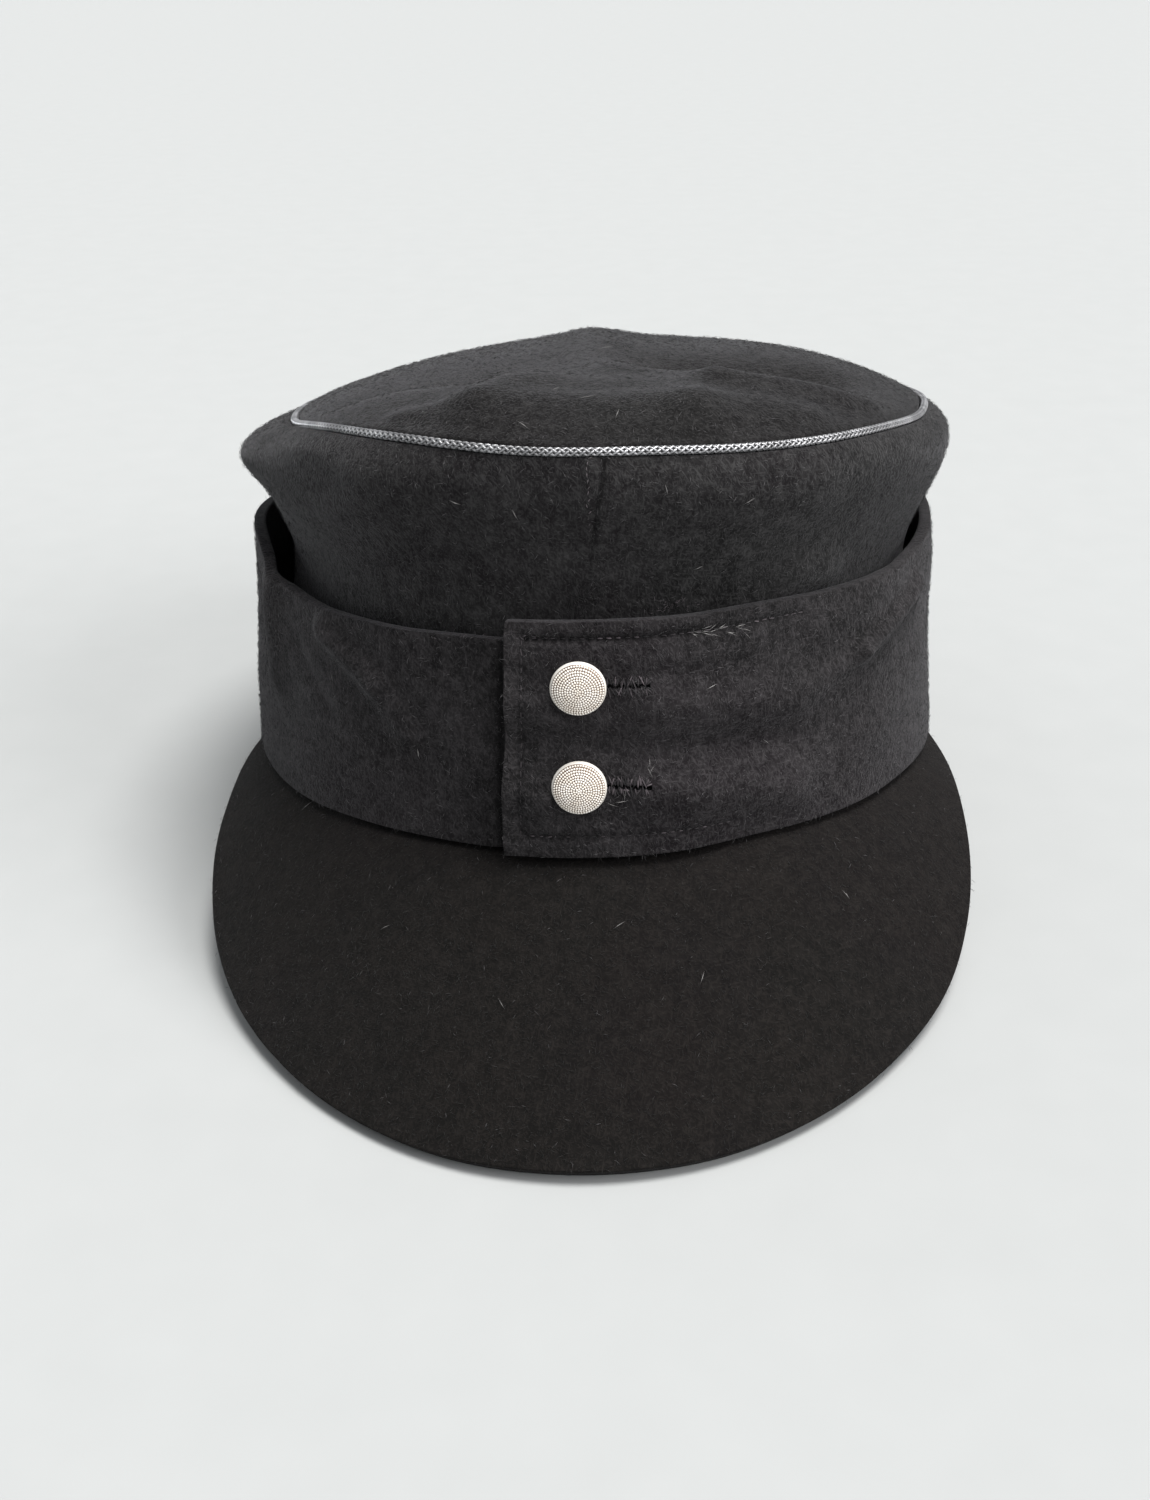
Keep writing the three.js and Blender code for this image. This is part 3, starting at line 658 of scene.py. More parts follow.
# %% Folds of the top panel
TOP_FOLDS = [
    {"name": "brow of the bank", "from": (-17, -99), "to": (24, -99), "width": 9, "rise": 3.6},
    {"name": "its right end", "from": (24, -99), "to": (50, -86), "width": 6, "rise": 1.6},
    {"name": "behind the brow", "from": (-14, -85), "to": (20, -86), "width": 8, "rise": 1.7},
    {"name": "left crest", "from": (-38, -93), "to": (-22, -97), "width": 4, "rise": 1.2},
    {"name": "left crest's root", "from": (-24, -96), "to": (-8, -78), "width": 5.5, "rise": 1.1},
    {"name": "right crest's root", "from": (9, -68), "to": (30, -79), "width": 5, "rise": 0.8},
    {"name": "right crest", "from": (30, -80), "to": (66, -66), "width": 4.5, "rise": 2.0},
    {"name": "right hollow", "from": (26, -54), "to": (54, -40), "width": 11, "rise": -5.4},
    {"name": "left hollow", "from": (-54, -58), "to": (-26, -64), "width": 9, "rise": -1.6},
    {"name": "spine", "from": (3, -77), "to": (2, 10), "width": 11, "rise": 1.2},
    {"name": "back hollow", "from": (-30, 40), "to": (24, 52), "width": 16, "rise": -1.8},
    {"name": "back crest", "from": (-46, 58), "to": (40, 66), "width": 9, "rise": 1.0},
]
centres, facings = face_places(crown_top)
front = (to_upright(centres)[:, 1] < -28) & (facings[:, 2] > 0.1)
pick_faces(crown_top, front)
bpy.ops.mesh.subdivide(number_cuts=1)
bpy.ops.mesh.select_less()
bpy.ops.mesh.select_less()
bpy.ops.mesh.vertices_smooth(factor=0.5, repeat=10)
close_up()
points = corners(crown_top)
upright = to_upright(points)
rise = np.zeros(len(points))
for fold in TOP_FOLDS:
    away = from_line(upright[:, :2], fold["from"], fold["to"])
    rise += fold["rise"] * np.exp(-((away / fold["width"]) ** 2))
rise *= near_cord(points, 1.2, 6.5)
upright[:, 2] += rise
set_corners(crown_top, from_upright(upright))
print("the top is folded by", round(float(rise.min()), 2), "to", round(float(rise.max()), 2), "mm")

# %% [markdown]
# The plain pieces keep a fine gap. Real ones are sewn together, so their edges meet. The crown's two sides
# are drawn towards the seam in front and behind, and whatever ends at the cord is drawn up against it. The
# pull dies away within a few millimetres of the seam.

# %% Close the seams
SEAM_FOOT = -6
SEAM_HEAD = 5
CROWN_HEIGHT = 91


def seam_turn(height):
    """The turn at which the front seam runs, at a height."""
    share = np.clip(height / CROWN_HEIGHT, 0, 1)
    return np.arcsin((SEAM_FOOT + (SEAM_HEAD - SEAM_FOOT) * share) / RIM_HALF_WIDTH)


def draw_to_seams(piece, side, pull=0.42, reach=5):
    """Draws a crown side's upright edges together. side is -1 for the left piece and 1 for the right one."""
    points = corners(piece)
    turns, out, height = round_head(points)
    radius = RIM_HALF_WIDTH + out
    to_front = (turns - seam_turn(height)) * side * radius
    to_back = (math.pi - np.abs(turns)) * radius
    step = -side * pull * np.exp(-np.clip(to_front, 0, None) / reach)
    step = step + side * pull * np.exp(-np.clip(to_back, 0, None) / reach)
    upright = to_upright(points)
    along = np.column_stack([np.cos(turns), np.sin(turns), np.zeros(len(turns))])
    set_corners(piece, from_upright(upright + along * step[:, None]))


draw_to_seams(crown_left, -1)
draw_to_seams(crown_right, 1)


def draw_to_cord(piece, pull=0.45, near=1.5, far=5.5):
    points = corners(piece)
    for i, point in enumerate(points):
        centre, _, distance = cord_tree.find(point)
        if distance < far * MM:
            share = 1 - max(distance / MM - near, 0) / (far - near)
            step = min(pull * MM, max(distance - 0.8 * MM, 0)) * share * share
            points[i] = point + (np.array(centre) - point) / distance * step
    set_corners(piece, points)


for piece in (crown_left, crown_right, crown_top):
    draw_to_cord(piece)
cord_steps = np.linalg.norm(np.roll(cord_line, -1, 0) - cord_line, axis=1)
print(f"the cord is {cord_steps.sum():.3f} m round")

# %% [markdown]
# The cord is a braid of bright wire thread round a core: four threads turn one way and four the other, each
# passing over one and under the next. A single thread is a thin tube that winds round the cord's line.
# Where it goes over it stands a little further out, and its opposite number at the same place stands a
# little further in.

# %% The braided cord
BRAID_RADIUS = 0.7
BRAID_SWELL = 0.09
BRAID_TURNS = 92
BRAID_THREADS = 4
THREAD_WIDTH = 0.36
THREAD_DEPTH = 0.2


def frames_along(line):
    """Two directions across a closed line at each point: away from the head, and square to that."""
    along = np.roll(line, -1, 0) - np.roll(line, 1, 0)
    along /= np.linalg.norm(along, axis=1)[:, None]
    side = np.cross(along, [0, 0, 1])
    side /= np.linalg.norm(side, axis=1)[:, None]
    return along, side, np.cross(side, along)


def tube(name, line, first, second, sections):
    """A closed tube round a closed line. sections gives how far its corners lie along the two directions."""
    sides = sections.shape[1]
    rings = line[:, None] + sections[..., :1] * first[:, None] + sections[..., 1:] * second[:, None]
    count = len(line)
    mesh = bpy.data.meshes.new(name)
    faces = []
    for i in range(count):
        here, ahead_ring = i * sides, (i + 1) % count * sides
        for k in range(sides):
            n = (k + 1) % sides
            faces.append((here + k, here + n, ahead_ring + n, ahead_ring + k))
    mesh.from_pydata(rings.reshape(-1, 3).tolist(), [], faces)
    made = bpy.data.objects.new(name, mesh)
    bpy.context.scene.collection.objects.link(made)
    open_up(made)
    bpy.ops.mesh.normals_make_consistent(inside=False)
    close_up()
    bpy.ops.object.shade_smooth()
    return made


fine_line = closed_curve(wave(ring_centres("crown_piping")), 28)
share = np.arange(len(fine_line)) / len(fine_line)
along, side, rise = frames_along(fine_line)
threads = []
for hand in (1, -1):
    for k in range(BRAID_THREADS):
        angle = 2 * math.pi * (hand * BRAID_TURNS * share + k / BRAID_THREADS)
        over = BRAID_SWELL * hand * np.cos(2 * math.pi * BRAID_TURNS * BRAID_THREADS * share)
        outward = side * np.cos(angle)[:, None] + rise * np.sin(angle)[:, None]
        path = fine_line + outward * ((BRAID_RADIUS + over) * MM)[:, None]
        across_path = np.cross(outward, np.roll(path, -1, 0) - np.roll(path, 1, 0))
        across_path /= np.linalg.norm(across_path, axis=1)[:, None]
        section = np.array([[THREAD_WIDTH, -0.06], [0, THREAD_DEPTH], [-THREAD_WIDTH, -0.06]]) * MM
        sections = np.repeat(section[None], len(path), 0)
        threads.append(tube("cord thread", path, across_path, outward, sections))
core_ring = [[0.6 * math.cos(a), 0.6 * math.sin(a)] for a in np.linspace(0, 2 * math.pi, 6, endpoint=False)]
core_frames = frames_along(cord_line)
core_sections = np.repeat(np.array(core_ring)[None] * MM, len(cord_line), 0)
threads.append(tube("cord core", cord_line, core_frames[1], core_frames[2], core_sections))
for number, thread in enumerate(threads):
    # Painted highlight and shade: each thread's back is painted bright, its sides darker, and the core dark.
    ring_painted_light_and_shade = [0.25, 1, 0.25] if number < 2 * BRAID_THREADS else [0] * 6
    tone = thread.data.attributes.new("tone", "FLOAT", "POINT")
    count = len(thread.data.vertices) // len(ring_painted_light_and_shade)
    tone.data.foreach_set("value", np.tile(np.array(ring_painted_light_and_shade, dtype=np.float32), count))
only(*threads)
bpy.ops.object.join()
cord = bpy.context.object
cord.name = "piping_braid"

# %% [markdown]
# The cord's thread is fine bright wire, so it shines like metal but not like a mirror. Each thread is
# painted brighter along its back, a painted highlight, and painted dark where it dips between its neighbours
# and on the core, a painted shade, as the tone kept on its corners tells. A slow noise dulls it here and
# there, as handling does.

# %% Silver thread
braid = Recipe("silver thread")
wire = braid.noise(braid.place(), 1500, 2)
dull = braid.between(braid.noise(braid.place(), 120, 2), 0.35, 0.7)
# This attribute is painted highlight and shade: the dark colour is painted shade in the dips and on the core.
thread_painted_light_and_shade = braid.node("Attribute", output="Fac", attribute_name="tone")
wire_tone = braid.blend(dull, colour(0.60, 0.60, 0.62), colour(0.32, 0.32, 0.33))
braid.finish(
    base_color=braid.blend(thread_painted_light_and_shade, colour(0.05, 0.05, 0.05), wire_tone),
    metallic=0.9,
    roughness=0.3 + 0.25 * wire,
    normal=braid.node("Bump", {"Height": wire, "Strength": 0.4, "Distance": 0.08 * MM}),
)
settle(cord, braid.material, "silver_braid", "crown_piping")

# %% [markdown]
# A pebbled button is pressed from thin metal: a dome full of tiny pearls in rings, inside a smooth rim. The
# dome is a profile spun round its axis. One pearl is modelled and copied to each place. The plain button
# gives the place: its own axis is the direction in which its corners spread least like the other two.

# %% The buttons
BUTTON_RADIUS = 6
BUTTON_RISE = 3.3
PEARL_STEP = 0.56


def button_frame(node):
    """The middle of a plain button's flat back, and a matrix whose Z axis points out of the button."""
    points = np.unique(np.round(corners(nodes[node]), 7), axis=0)
    middle = points.mean(axis=0)
    spreads, directions = np.linalg.eigh(np.cov((points - middle).T))
    odd = 0 if spreads[1] - spreads[0] > spreads[2] - spreads[1] else 2
    axis = directions[:, odd]
    axis = axis if axis[1] < 0 else -axis
    top = (points @ axis).max()
    radial = points - middle - np.outer((points - middle) @ axis, axis)
    centre = middle + axis * (top - middle @ axis - BUTTON_RISE * MM)
    print(node, "radius", round(np.linalg.norm(radial, axis=1).max() / MM, 2), "mm")
    centre = centre + (wave([centre]) - centre)[0]
    z_axis = Vector(axis)
    x_axis = Vector((1, 0, 0)) - z_axis * z_axis.x
    x_axis.normalize()
    y_axis = z_axis.cross(x_axis)
    frame_axes = Matrix((x_axis, y_axis, z_axis)).transposed().to_4x4()
    return Matrix.Translation(centre) @ frame_axes


def spun(name, profile, steps):
    """A round piece from a profile of (radius, height) points in millimetres, spun about Z."""
    mesh = bpy.data.meshes.new(name)
    points = [(r * MM, 0, h * MM) for r, h in profile]
    mesh.from_pydata(points, [(i, i + 1) for i in range(len(points) - 1)], [])
    made = bpy.data.objects.new(name, mesh)
    bpy.context.scene.collection.objects.link(made)
    open_up(made)
    bpy.ops.mesh.spin(steps=steps, angle=2 * math.pi, center=(0, 0, 0), axis=(0, 0, 1))
    bpy.ops.mesh.select_all(action="SELECT")
    bpy.ops.mesh.remove_doubles(threshold=0.001 * MM)
    bpy.ops.mesh.normals_make_consistent(inside=False)
    close_up()
    bpy.ops.object.shade_smooth()
    return made


def dome_height(radius):
    """The height of the dome's face over the button's back."""
    return 0.55 + (BUTTON_RISE - 0.72) * math.sqrt(max(0, 1 - (radius / BUTTON_RADIUS) ** 2))


DOME_EDGE = 5.6
profile = [(0, -2.6), (0.9, -2.6), (0.9, 0.05), (5.2, 0.0), (5.7, 0.12), (5.95, 0.4), (5.97, 0.7), (5.8, 1.0)]
profile += [(5.72, 1.18), (DOME_EDGE + 0.05, 1.24)]
profile += [(r, dome_height(r)) for r in (DOME_EDGE - 0.05, 5.0, 4.3, 3.6, 2.8, 1.9, 1.0, 0)]
dome = spun("button dome", profile, 48)

bpy.ops.mesh.primitive_ico_sphere_add(subdivisions=2, radius=0.255 * MM)
pearl = bpy.context.object
pearl.name = "pearl"


def scatter(name, pattern, places, tones):
    """One mesh of many copies of a pattern. places are 4 by 4 arrays, and each copy has a tone of its own."""
    shape = corners(pattern)
    faces = [list(face.vertices) for face in pattern.data.polygons]
    places = np.asarray(places)
    points = np.einsum("nij,kj->nki", places[:, :3, :3], shape) + places[:, None, :3, 3]
    starts = range(0, len(places) * len(shape), len(shape))
    polygons = [[i + start for i in face] for start in starts for face in faces]
    mesh = bpy.data.meshes.new(name)
    mesh.from_pydata(points.reshape(-1, 3).tolist(), [], polygons)
    tone = mesh.attributes.new("tone", "FLOAT", "POINT")
    tone.data.foreach_set("value", np.repeat(np.asarray(tones, dtype=np.float32), len(shape)))
    mesh.shade_smooth()
    made = bpy.data.objects.new(name, mesh)
    bpy.context.scene.collection.objects.link(made)
    return made


def pearl_places():
    """Rings of pearls on the dome, each a pearl's width from the next."""
    places = []
    for ring in range(11):
        radius = ring * (DOME_EDGE - 0.3) / 10
        count = max(1, round(2 * math.pi * radius / PEARL_STEP))
        for k in range(count):
            angle = 2 * math.pi * (k + 0.31 * ring * ring) / count
            wander = 0.03 * noise.noise(Vector((ring * 3.1, k * 1.7, 0)))
            r = radius + wander
            places.append([r * math.cos(angle) * MM, r * math.sin(angle) * MM, (dome_height(r) + 0.02) * MM])
    return places


pearls = []
for x, y, z in pearl_places():
    place = np.eye(4)
    place[:3, 3] = (x, y, z)
    pearls.append(place)
cover = scatter("button pearls", pearl, pearls, np.ones(len(pearls)))
dome_tone = dome.data.attributes.new("tone", "FLOAT", "POINT")
rim_inside = (DOME_EDGE + 0.02) * MM
rim_tone = [float(math.hypot(*v.co[:2]) > rim_inside or v.co.z < 0) for v in dome.data.vertices]
dome_tone.data.foreach_set("value", rim_tone)
only(dome, cover)
bpy.ops.object.join()
print("a button has", len(pearls), "pearls")

silver = Recipe("button silver")
tone = silver.node("Attribute", output="Fac", attribute_name="tone")
worn = silver.between(silver.noise(silver.place(), 400, 2), 0.3, 0.7)
bright = silver.blend(worn, colour(0.98, 0.94, 0.88), colour(0.88, 0.82, 0.74))
silver.finish(
    base_color=silver.blend(tone, colour(0.13, 0.075, 0.045), bright),
    metallic=0.2,
    roughness=0.38 + 0.12 * worn,
)
buttons = []
for place in ("upper", "lower"):
    button = bpy.data.objects.new(f"button_{place}_pebbled", dome.data.copy())
    bpy.context.scene.collection.objects.link(button)
    button.data.transform(button_frame(f"button_{place}"))
    settle(button, silver.material, "button_metal", f"button_{place}")
    buttons.append(button)
bpy.data.objects.remove(dome)
bpy.data.objects.remove(pearl)

# %% [markdown]
# The tab is stitched all round, a little in from its edge. In thick wool the thread sinks, and what shows
# is a soft channel with a deeper dent at each stitch, so the points of the tab's face are pressed in along
# the rows. The channel is also painted darker, in dashes at the stitches: painted shade of the dents.

# %% Stitch rows of the tab
TAB_TOP = 57.3
TAB_FOOT = 4.3
TAB_REACH = 14.3
TAB_LEAN = 1.7
ROW_INSET = 3.6
FOOT_INSET = 4.8
STITCH = 1.9


def tab_edge(height):
    """The turn of the tab's upright edge, at a height."""
    share = np.clip((height - TAB_FOOT) / (TAB_TOP - TAB_FOOT), 0, 1)
    return np.arcsin((-TAB_REACH - TAB_LEAN * (1 - share)) / RIM_HALF_WIDTH)


def press_in(piece, depth, dark):
    """Presses a piece's points in, in millimetres, and keeps painted shade there as an attribute: how near to
    black the wool is painted.
    """
    set_corners(piece, corners(piece) - normals(piece) * (depth * MM)[:, None])
    pressed_and_painted_shade = piece.data.attributes.new("pressed_and_painted_shade", "FLOAT", "POINT")
    pressed_and_painted_shade.data.foreach_set("value", np.asarray(dark, dtype=np.float32))
    print(piece.name, "is pressed in at", int((depth > 0.05).sum()), "points")


# Each row starts and ends at a distance in millimetres from the tab's upright edge, and at a height
UPPER_ROW = TAB_TOP - ROW_INSET
LOWER_ROW = TAB_FOOT + FOOT_INSET
rows = [
    {"name": "top", "strength": 1, "start": (ROW_INSET, UPPER_ROW), "end": (67, UPPER_ROW)},
    {"name": "foot", "strength": 0.7, "start": (ROW_INSET, LOWER_ROW), "end": (51, LOWER_ROW)},
    {"name": "side", "strength": 0.5, "start": (ROW_INSET, LOWER_ROW), "end": (ROW_INSET, UPPER_ROW)},
]


def row_stitches(row):
    """The middles of a row's stitches, as distance from the edge and height, and the way the row runs."""
    start, end = np.array(row["start"]), np.array(row["end"])
    length = np.linalg.norm(end - start)
    count = round(length / STITCH)
    return [start + (end - start) * (i + 0.5) / count for i in range(count)], (end - start) / length


points = corners(flap_right)
turns, out, heights = round_head(points)
from_edge = (turns - tab_edge(heights)) * (RIM_HALF_WIDTH + out)
outer = outwardness(points, normals(flap_right)) > 0.3
press = np.zeros(len(points))
dark = np.zeros(len(points))
for row in rows:
    stitches, way = row_stitches(row)
    start, end = np.array(stitches[0]), np.array(stitches[-1])
    here = np.column_stack([from_edge, heights])
    share = np.clip(((here - start) @ way) / np.linalg.norm(end - start), 0, 1)
    away = np.linalg.norm(here - start - share[:, None] * (end - start), axis=1)
    along_row = (here - start) @ way / STITCH
    faint = row["strength"] * (1 - 0.5 * share)
    channel = 0.5 * np.exp(-((away / 0.8) ** 2)) - 0.15 * np.exp(-(((away - 2) / 0.9) ** 2))
    dents = 0.3 * np.exp(-((away / 0.55) ** 2)) * np.cos(math.pi * along_row) ** 4
    row_press = (channel + dents) * faint
    press = np.where(np.abs(row_press) > np.abs(press), row_press, press)
    # dark is painted shade: the wool in each row's channel is painted darker, most at the stitches' dents.
    dashes = 0.3 + 0.7 * np.cos(math.pi * along_row) ** 2
    dark = np.maximum(dark, np.exp(-((away / 0.7) ** 2)) * dashes * faint)
on_face = outer & (turns < math.radians(40))
press = np.where(on_face, press, 0)
press_in(flap_right, press, np.where(on_face, dark, 0))

# %% [markdown]
# Beside its upright edge the tab has pressed a narrow hollow into the wool below, and the wool there is
# painted its blackest, a painted shadow of the tab's edge. The flap's left half is pressed in there with the
# same helper, along a line just outside the tab's edge.

# %% The hollow beside the tab
BESIDE_TAB = 1.7
HOLLOW_WIDTH = 0.9
HOLLOW_DEPTH = 0.35
# How much darker the hollow's wool is painted: a painted shadow of the tab's edge.
HOLLOW_PAINTED_SHADOW = 0.85
points = corners(flap_left)
turns, out, heights = round_head(points)
from_edge = (turns - tab_edge(heights)) * (RIM_HALF_WIDTH + out)
outer = outwardness(points, normals(flap_left)) > 0.3
hollow = np.exp(-(((from_edge + BESIDE_TAB) / HOLLOW_WIDTH) ** 2)) * outer
press_in(flap_left, HOLLOW_DEPTH * hollow, HOLLOW_PAINTED_SHADOW * hollow)

# %% [markdown]
# The crown's front seam is pressed in the same way: a narrow groove where its two sides meet, from the cord
# down into the flap, that fades a little as it goes down. The groove is painted darker as well, a painted
# shade that fades with it.

# %% The crown's front seam
for piece in (crown_left, crown_right):
    points = corners(piece)
    turns, out, heights = round_head(points)
    away = np.abs(turns - seam_turn(heights)) * (RIM_HALF_WIDTH + out)
    in_front = (outwardness(points, normals(piece)) > 0.2) & (np.abs(turns) < 0.4)
    depth = 0.38 * np.exp(-((away / 0.7) ** 2)) - 0.15 * np.exp(-(((away - 2.2) / 1.3) ** 2))
    # dark is painted shade in the seam's groove.
    dark = 0.55 * np.exp(-((away / 0.5) ** 2))
    fade = np.clip((heights - 62) / 24, 0.15, 1)
    press_in(piece, np.where(in_front, depth * fade, 0), np.where(in_front, dark * fade, 0))

# %% [markdown]
# Threads and hairs have to lie on the finished cloth. All the cloth goes into one search tree, and two
# small helpers ask it where a straight line first meets it: a line from in front of the tab, and a line of
# sight from the camera.

# %% Where the cloth is
cloth = (crown_left, crown_right, crown_top, flap_left, flap_right, peak)
skin_points, skin_faces = [], []
for piece in cloth:
    start = len(skin_points)
    skin_points += [v.co.copy() for v in piece.data.vertices]
    skin_faces += [[start + i for i in face.vertices] for face in piece.data.polygons]
skin = BVHTree.FromPolygons(skin_points, skin_faces)
LEVEL = Vector(np.array([0, 1, 0]) @ UPRIGHT)


def on_tab_face(edge_distance, height):
    """A place of the tab's face, with its normal."""
    turn_there = tab_edge(height) + edge_distance / (RIM_HALF_WIDTH + 8)
    x = (RIM_HALF_WIDTH + 8) * math.sin(turn_there)
    hit, normal, _, _ = skin.ray_cast(Vector(from_upright([x, -200, height])), LEVEL)
    return hit, normal


def in_sight(x, y):
    """The place of the cloth that shows at a place of the picture, with its normal."""
    start, direction = sight_line(x, y)
    hit, normal, _, _ = skin.ray_cast(start, direction)
    return hit, normal


def lay(point, normal, towards, length, width, depth=None, sink=0):
    """A matrix that lays a pattern on the cloth, its X axis towards a direction and its Z axis the normal."""
    x_axis = towards - normal * towards.dot(normal)
    x_axis.normalize()
    y_axis = normal.cross(x_axis)
    place = np.eye(4)
    place[:3, 0] = np.array(x_axis) * length
    place[:3, 1] = np.array(y_axis) * width
    place[:3, 2] = np.array(normal) * (width if depth is None else depth)
    place[:3, 3] = np.array(point) - np.array(normal) * sink
    return place


# %% [markdown]
# A stitch is a short arc of thread that comes up out of the cloth and dives back in. One is modelled as a
# stretched ball, half sunk, and copied along the rows and round the buttonholes. In a buttonhole the thread
# lies across the slit's lips, thread beside thread, and shines with a little violet.

# %% Stitches
dice = np.random.default_rng(11)
bpy.ops.mesh.primitive_uv_sphere_add(segments=6, ring_count=5, radius=0.5, rotation=(0, math.pi / 2, 0))
stitch = bpy.context.object
bpy.ops.object.transform_apply(location=False, rotation=True, scale=True)

places, tones = [], []
for row in rows:
    for middle, height in row_stitches(row)[0]:
        hit, normal = on_tab_face(middle, height)
        way = Vector(from_upright([0, 0, 1])) - Vector(from_upright([0, 0, 0]))
        ahead_hit, _ = on_tab_face(middle + 0.5, height)
        way = way if row["name"] == "side" else ahead_hit - hit
        way.normalize()
        way += Vector(dice.normal(0, 0.08, 3))
        length = STITCH * dice.uniform(0.62, 0.86)
        places.append(lay(hit, normal, way, length * MM, 0.34 * MM, 0.3 * MM, 0.04 * MM))
        tones.append(dice.uniform(0.05, 0.35) if row["name"] == "side" else dice.uniform(0, 1) ** 2)
tab_stitches = scatter("tab_stitches", stitch, places, tones)
settle(tab_stitches, black_thread, "flap_wool")

clear_tree = KDTree(len(places))
for i, place in enumerate(places):
    clear_tree.insert(place[:3, 3], i)
clear_tree.balance()

LIP = 1.05
STRAND_STEP = 0.36
places, tones = [], []
up = Vector(np.array([0, 0, 1]) @ UPRIGHT)
for place in ("upper", "lower"):
    middle = button_frame(f"button_{place}").translation
    x_start, _, z = to_upright([middle])[0]
    for k in range(24):
        x = x_start + 5.6 + k * STRAND_STEP
        for lip in (-1, 1):
            z_there = z + lip * (LIP + 0.22 * dice.normal())
            before = Vector(from_upright([x + 0.2 * dice.normal(), -200, z_there]))
            hit, normal, _, _ = skin.ray_cast(before, LEVEL)
            lean_over = up + Vector((0.4 * dice.normal(), 0, 0))
            length = dice.uniform(1.4, 2.7)
            places.append(lay(hit, normal, lean_over, length * MM, 0.3 * MM, 0.5 * MM, 0.02 * MM))
            tones.append(dice.uniform(0, 1) ** 2.5)
    for k in range(9):
        fan = math.radians(-80 + 20 * k)
        x, z_there = x_start + 14.2 + 0.8 * math.cos(fan), z + 1.2 * math.sin(fan)
        hit, normal, _, _ = skin.ray_cast(Vector(from_upright([x, -200, z_there])), LEVEL)
        way = Vector(np.array([math.cos(fan), 0, math.sin(fan)]) @ UPRIGHT)
        places.append(lay(hit, normal, way, 1.5 * MM, 0.36 * MM, 0.5 * MM, 0.02 * MM))
        tones.append(dice.uniform(0, 1) ** 2.5)
buttonhole_stitches = scatter("buttonhole_stitches", stitch, places, tones)
settle(buttonhole_stitches, black_thread, "flap_wool")
bpy.data.objects.remove(stitch)

# %% [markdown]
# The nap is what makes wool look like wool near by: thousands of short bent hairs that lie every way on the
# surface and stand off it at the edges. One hair is a cone of three sides with its foot drawn out to a
# point. The copies are spread evenly over the cloth that shows, each with a length, a turn, a roll and a
# tone of its own.

# %% The nap
bpy.ops.mesh.primitive_cone_add(
    vertices=3, radius1=1, radius2=0, depth=1, end_fill_type="TRIFAN", rotation=(0, math.pi / 2, 0)
)
hair = bpy.context.object
bpy.ops.object.transform_apply(location=False, rotation=True, scale=True)
points = corners(hair)
tip = points[:, 0] > 0.4
foot = ~tip & (np.hypot(points[:, 1], points[:, 2]) < 0.1)
points[:, 0] = np.where(tip, 1, np.where(foot, 0, 0.45))
points[:, 2] += np.where(tip, 2.2, np.where(foot, -1, 3.2))
set_corners(hair, points)


def spread(piece, per_square, seed, keep):
    """Random places on a piece's face, so many to a square millimetre, with their normals."""
    draw = np.random.default_rng(seed)
    mesh = piece.data
    mesh.calc_loop_triangles()
    triangles = np.empty(len(mesh.loop_triangles) * 3, dtype=np.int32)
    mesh.loop_triangles.foreach_get("vertices", triangles)
    a, b, c = corners(piece)[triangles.reshape(-1, 3)].transpose(1, 0, 2)
    square = np.cross(b - a, c - a)
    area = np.linalg.norm(square, axis=1) / 2
    facing = square / np.maximum(area * 2, 1e-12)[:, None]
    chosen = keep((a + b + c) / 3, facing) & (area > 0)
    a, b, c, facing, area = a[chosen], b[chosen], c[chosen], facing[chosen], area[chosen]
    count = round(area.sum() / MM**2 * per_square)
    picked = draw.choice(len(area), count, p=area / area.sum())
    u, v = draw.random(count), draw.random(count)
    u, v = np.where(u + v > 1, 1 - u, u), np.where(u + v > 1, 1 - v, v)
    places = a[picked] + u[:, None] * (b - a)[picked] + v[:, None] * (c - a)[picked]
    return places, facing[picked], draw


def nap(name, pieces, per_square, seed, keep, blackness=4):
    """Hairs over the parts of some pieces that nothing covers."""
    matrices, tones = [], []
    for number, piece in enumerate(pieces):
        places, facing, draw = spread(piece, per_square, seed + number, keep)
        lengths = draw.uniform(0.5, 1.0, len(places)) ** 1.5 * 2.0
        ways = draw.normal(size=(len(places), 3))
        lifts = draw.uniform(0.0, 0.35, len(places))
        rolls = draw.uniform(-1.2, 1.2, len(places))
        pale = draw.random(len(places)) ** blackness
        hairs = zip(places, facing, lengths, ways, lifts, rolls, pale)
        for point, normal, length, way, lift, roll, tone in hairs:
            normal = Vector(normal)
            if clear_tree.find(Vector(point))[2] < 0.8 * MM:
                continue
            start = Vector(point) + normal * 0.4 * MM
            if skin.ray_cast(start, normal, 6 * MM)[0] is not None:
                continue
            place = lay(point, normal, Vector(way), length * MM, 0.045 * MM)
            place[:3, 0] += np.array(normal) * length * lift * MM
            side, up_there = place[:3, 1].copy(), place[:3, 2].copy()
            place[:3, 1] = side * math.cos(roll) + up_there * math.sin(roll)
            place[:3, 2] = up_there * math.cos(roll) - side * math.sin(roll)
            matrices.append(place)
            tones.append(tone)
    return scatter(name, hair, matrices, tones)


def faces_out(centre, facing):
    return outwardness(centre, facing) > 0.25


def faces_up(centre, facing):
    return facing[:, 2] > 0.1


def faces_not_down(centre, facing):
    return facing[:, 2] > -0.3


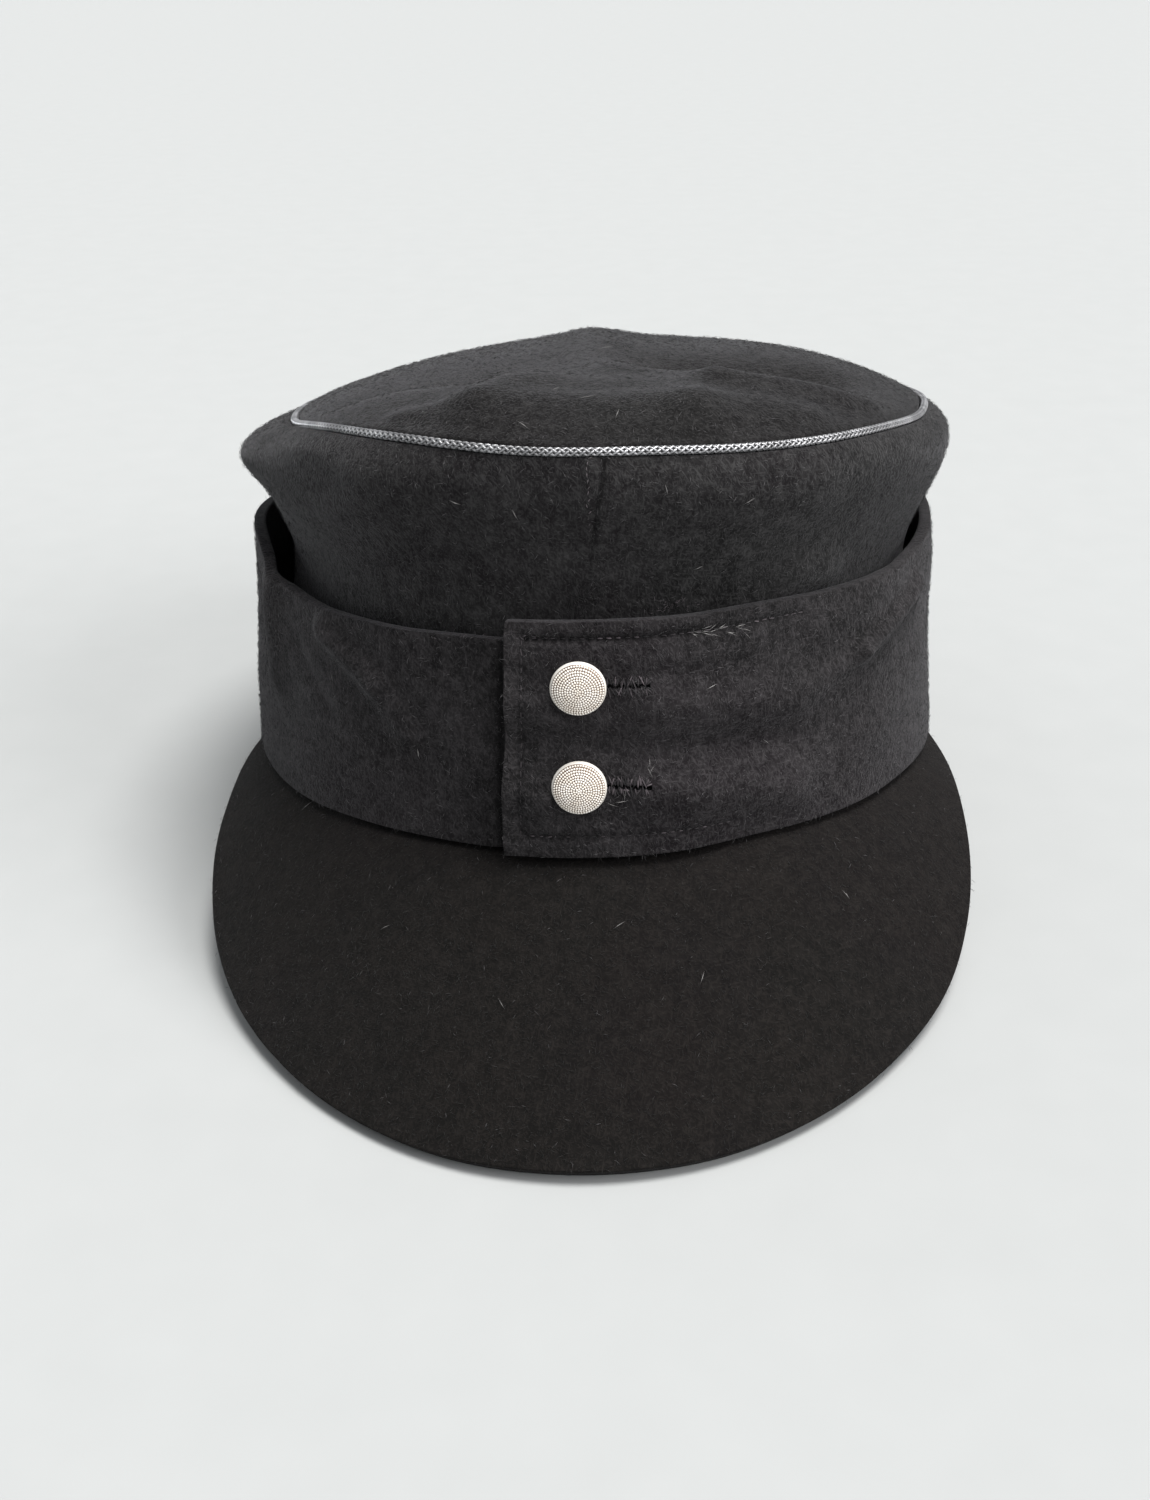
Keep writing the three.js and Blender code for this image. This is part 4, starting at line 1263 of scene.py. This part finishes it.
thin = 1
hairs_left = nap("crown_nap_left", [crown_left], 0.7 * thin, 21, faces_out)
hairs_right = nap("crown_nap_right", [crown_right], 0.7 * thin, 31, faces_out)
hairs_top = nap("crown_nap_top", [crown_top], 0.7 * thin, 41, faces_up)
flap_hairs_left = nap("flap_nap_left", [flap_left], 0.8 * thin, 51, faces_out)
flap_hairs_right = nap("flap_nap_right", [flap_right], 0.8 * thin, 61, faces_out)
peak_hairs = nap("peak_nap", [peak], 0.6 * thin, 71, faces_not_down, 40)
for hairs in (hairs_left, hairs_right, hairs_top):
    settle(hairs, nap_hair, "crown_wool")
for hairs in (flap_hairs_left, flap_hairs_right):
    settle(hairs, nap_hair, "flap_wool")
settle(peak_hairs, nap_hair, "peak_wool")

# %% [markdown]
# A cap that has been worn carries lint, and its seams shed a few loose ends. They are the same hair, longer
# and paler, laid where they show: single ones here and there, a row of short ends beside the crown's seam,
# a frayed thread along the tab's upper row and a tuft above the tab. Their places are counted in the
# picture, across and down.

# %% Lint and loose ends
LINT = [
    (596, 350, 20, 4), (550, 392, 60, 3), (530, 430, 140, 3.5), (518, 520, 100, 3), (575, 400, 10, 4),
    (615, 420, 75, 3), (692, 570, 30, 2.5), (333, 682, 60, 2.5), (300, 812, 20, 5), (462, 505, 150, 3),
    (742, 505, 40, 3), (668, 495, 110, 2.5), (420, 760, 80, 3), (705, 690, 25, 3), (770, 745, 160, 3),
    (612, 930, 35, 3.5), (505, 1010, 120, 3), (700, 985, 70, 3), (380, 930, 10, 3), (850, 900, 140, 3),
]
FRAYED = [(690, 633), (699, 631), (707, 632), (716, 629), (724, 631), (733, 628), (741, 629)]
LOOSE = [(613, 803, 20), (619, 807, 150), (624, 804, 80), (650, 769, 95), (648, 776, 60), (653, 779, 120)]
SEAM_ENDS = [(587 + 0.02 * (y - 455), y) for y in range(460, 534, 6)]


def end_of_thread(x, y, turned, length, width, lift=0.15):
    """A hair where the picture shows one, turned so many degrees from level, as seen in the picture."""
    hit, normal = in_sight(x, y)
    level = camera_right @ UPRIGHT
    upward = camera_up @ UPRIGHT
    way = Vector(level * math.cos(math.radians(turned)) + upward * math.sin(math.radians(turned)))
    place = lay(hit, normal, way, length * MM, width * MM)
    place[:3, 0] += np.array(normal) * length * lift * MM
    place[:3, 3] += np.array(normal) * 0.1 * MM
    return place


places, tones = [], []
for x, y, turned, length in LINT:
    places.append(end_of_thread(x, y, turned, length, 0.07))
    tones.append(dice.uniform(0.3, 1))
for x, y in FRAYED:
    for _ in range(3):
        y_there, turned, length = y + dice.normal(0, 1), dice.normal(5, 22), dice.uniform(2, 3.6)
        places.append(end_of_thread(x, y_there, turned, length, 0.055, 0.1))
        tones.append(dice.uniform(0.2, 1))
for x, y, turned in LOOSE:
    places.append(end_of_thread(x, y, turned, dice.uniform(2.5, 4), 0.055, 0.25))
    tones.append(dice.uniform(0.3, 0.9))
lint = scatter("lint", hair, places, tones)
settle(lint, pale_lint, "crown_wool")

places, tones = [], []
for x, y in SEAM_ENDS:
    places.append(end_of_thread(x, y, dice.normal(75, 15), dice.uniform(0.9, 1.4), 0.13, 0))
    tones.append(dice.uniform(0.3, 1))
for k in range(26):
    x, y = dice.uniform(576, 602), dice.uniform(592, 607)
    places.append(end_of_thread(x, y, dice.normal(90, 30), dice.uniform(1.8, 3.4), 0.09, 0.3))
    tones.append(0.0)
for k in range(34):
    x, y = dice.uniform(652, 698), dice.uniform(600, 613)
    places.append(end_of_thread(x, y, dice.uniform(0, 180), dice.uniform(0.8, 1.8), 0.08, 0.2))
    tones.append(dice.uniform(0.3, 1))
for k in range(30):
    x, y, turned = dice.uniform(430, 548), dice.normal(637, 1.2), dice.normal(0, 25)
    places.append(end_of_thread(x, y, turned, 1.1, 0.09, 0))
    tones.append(dice.uniform(0, 0.7))
seam_ends = scatter("seam_ends", hair, places, tones)
settle(seam_ends, black_thread, "crown_wool")
bpy.data.objects.remove(hair)

# %% [markdown]
# Last of all the cloth gets its wool. It waits until now, because each step above still moved its points.
# Each piece takes the place of its plain node.

# %% Finish the cloth
settle(crown_left, crown_wool, "crown_wool", "crown_side_left")
settle(crown_right, crown_wool, "crown_wool", "crown_side_right")
settle(crown_top, top_wool, "crown_wool", "crown_top")
settle(flap_left, flap_wool, "flap_wool", "flap_left")
settle(flap_right, flap_wool, "flap_wool", "flap_right")
settle(peak, peak_wool, "peak_wool", "peak")
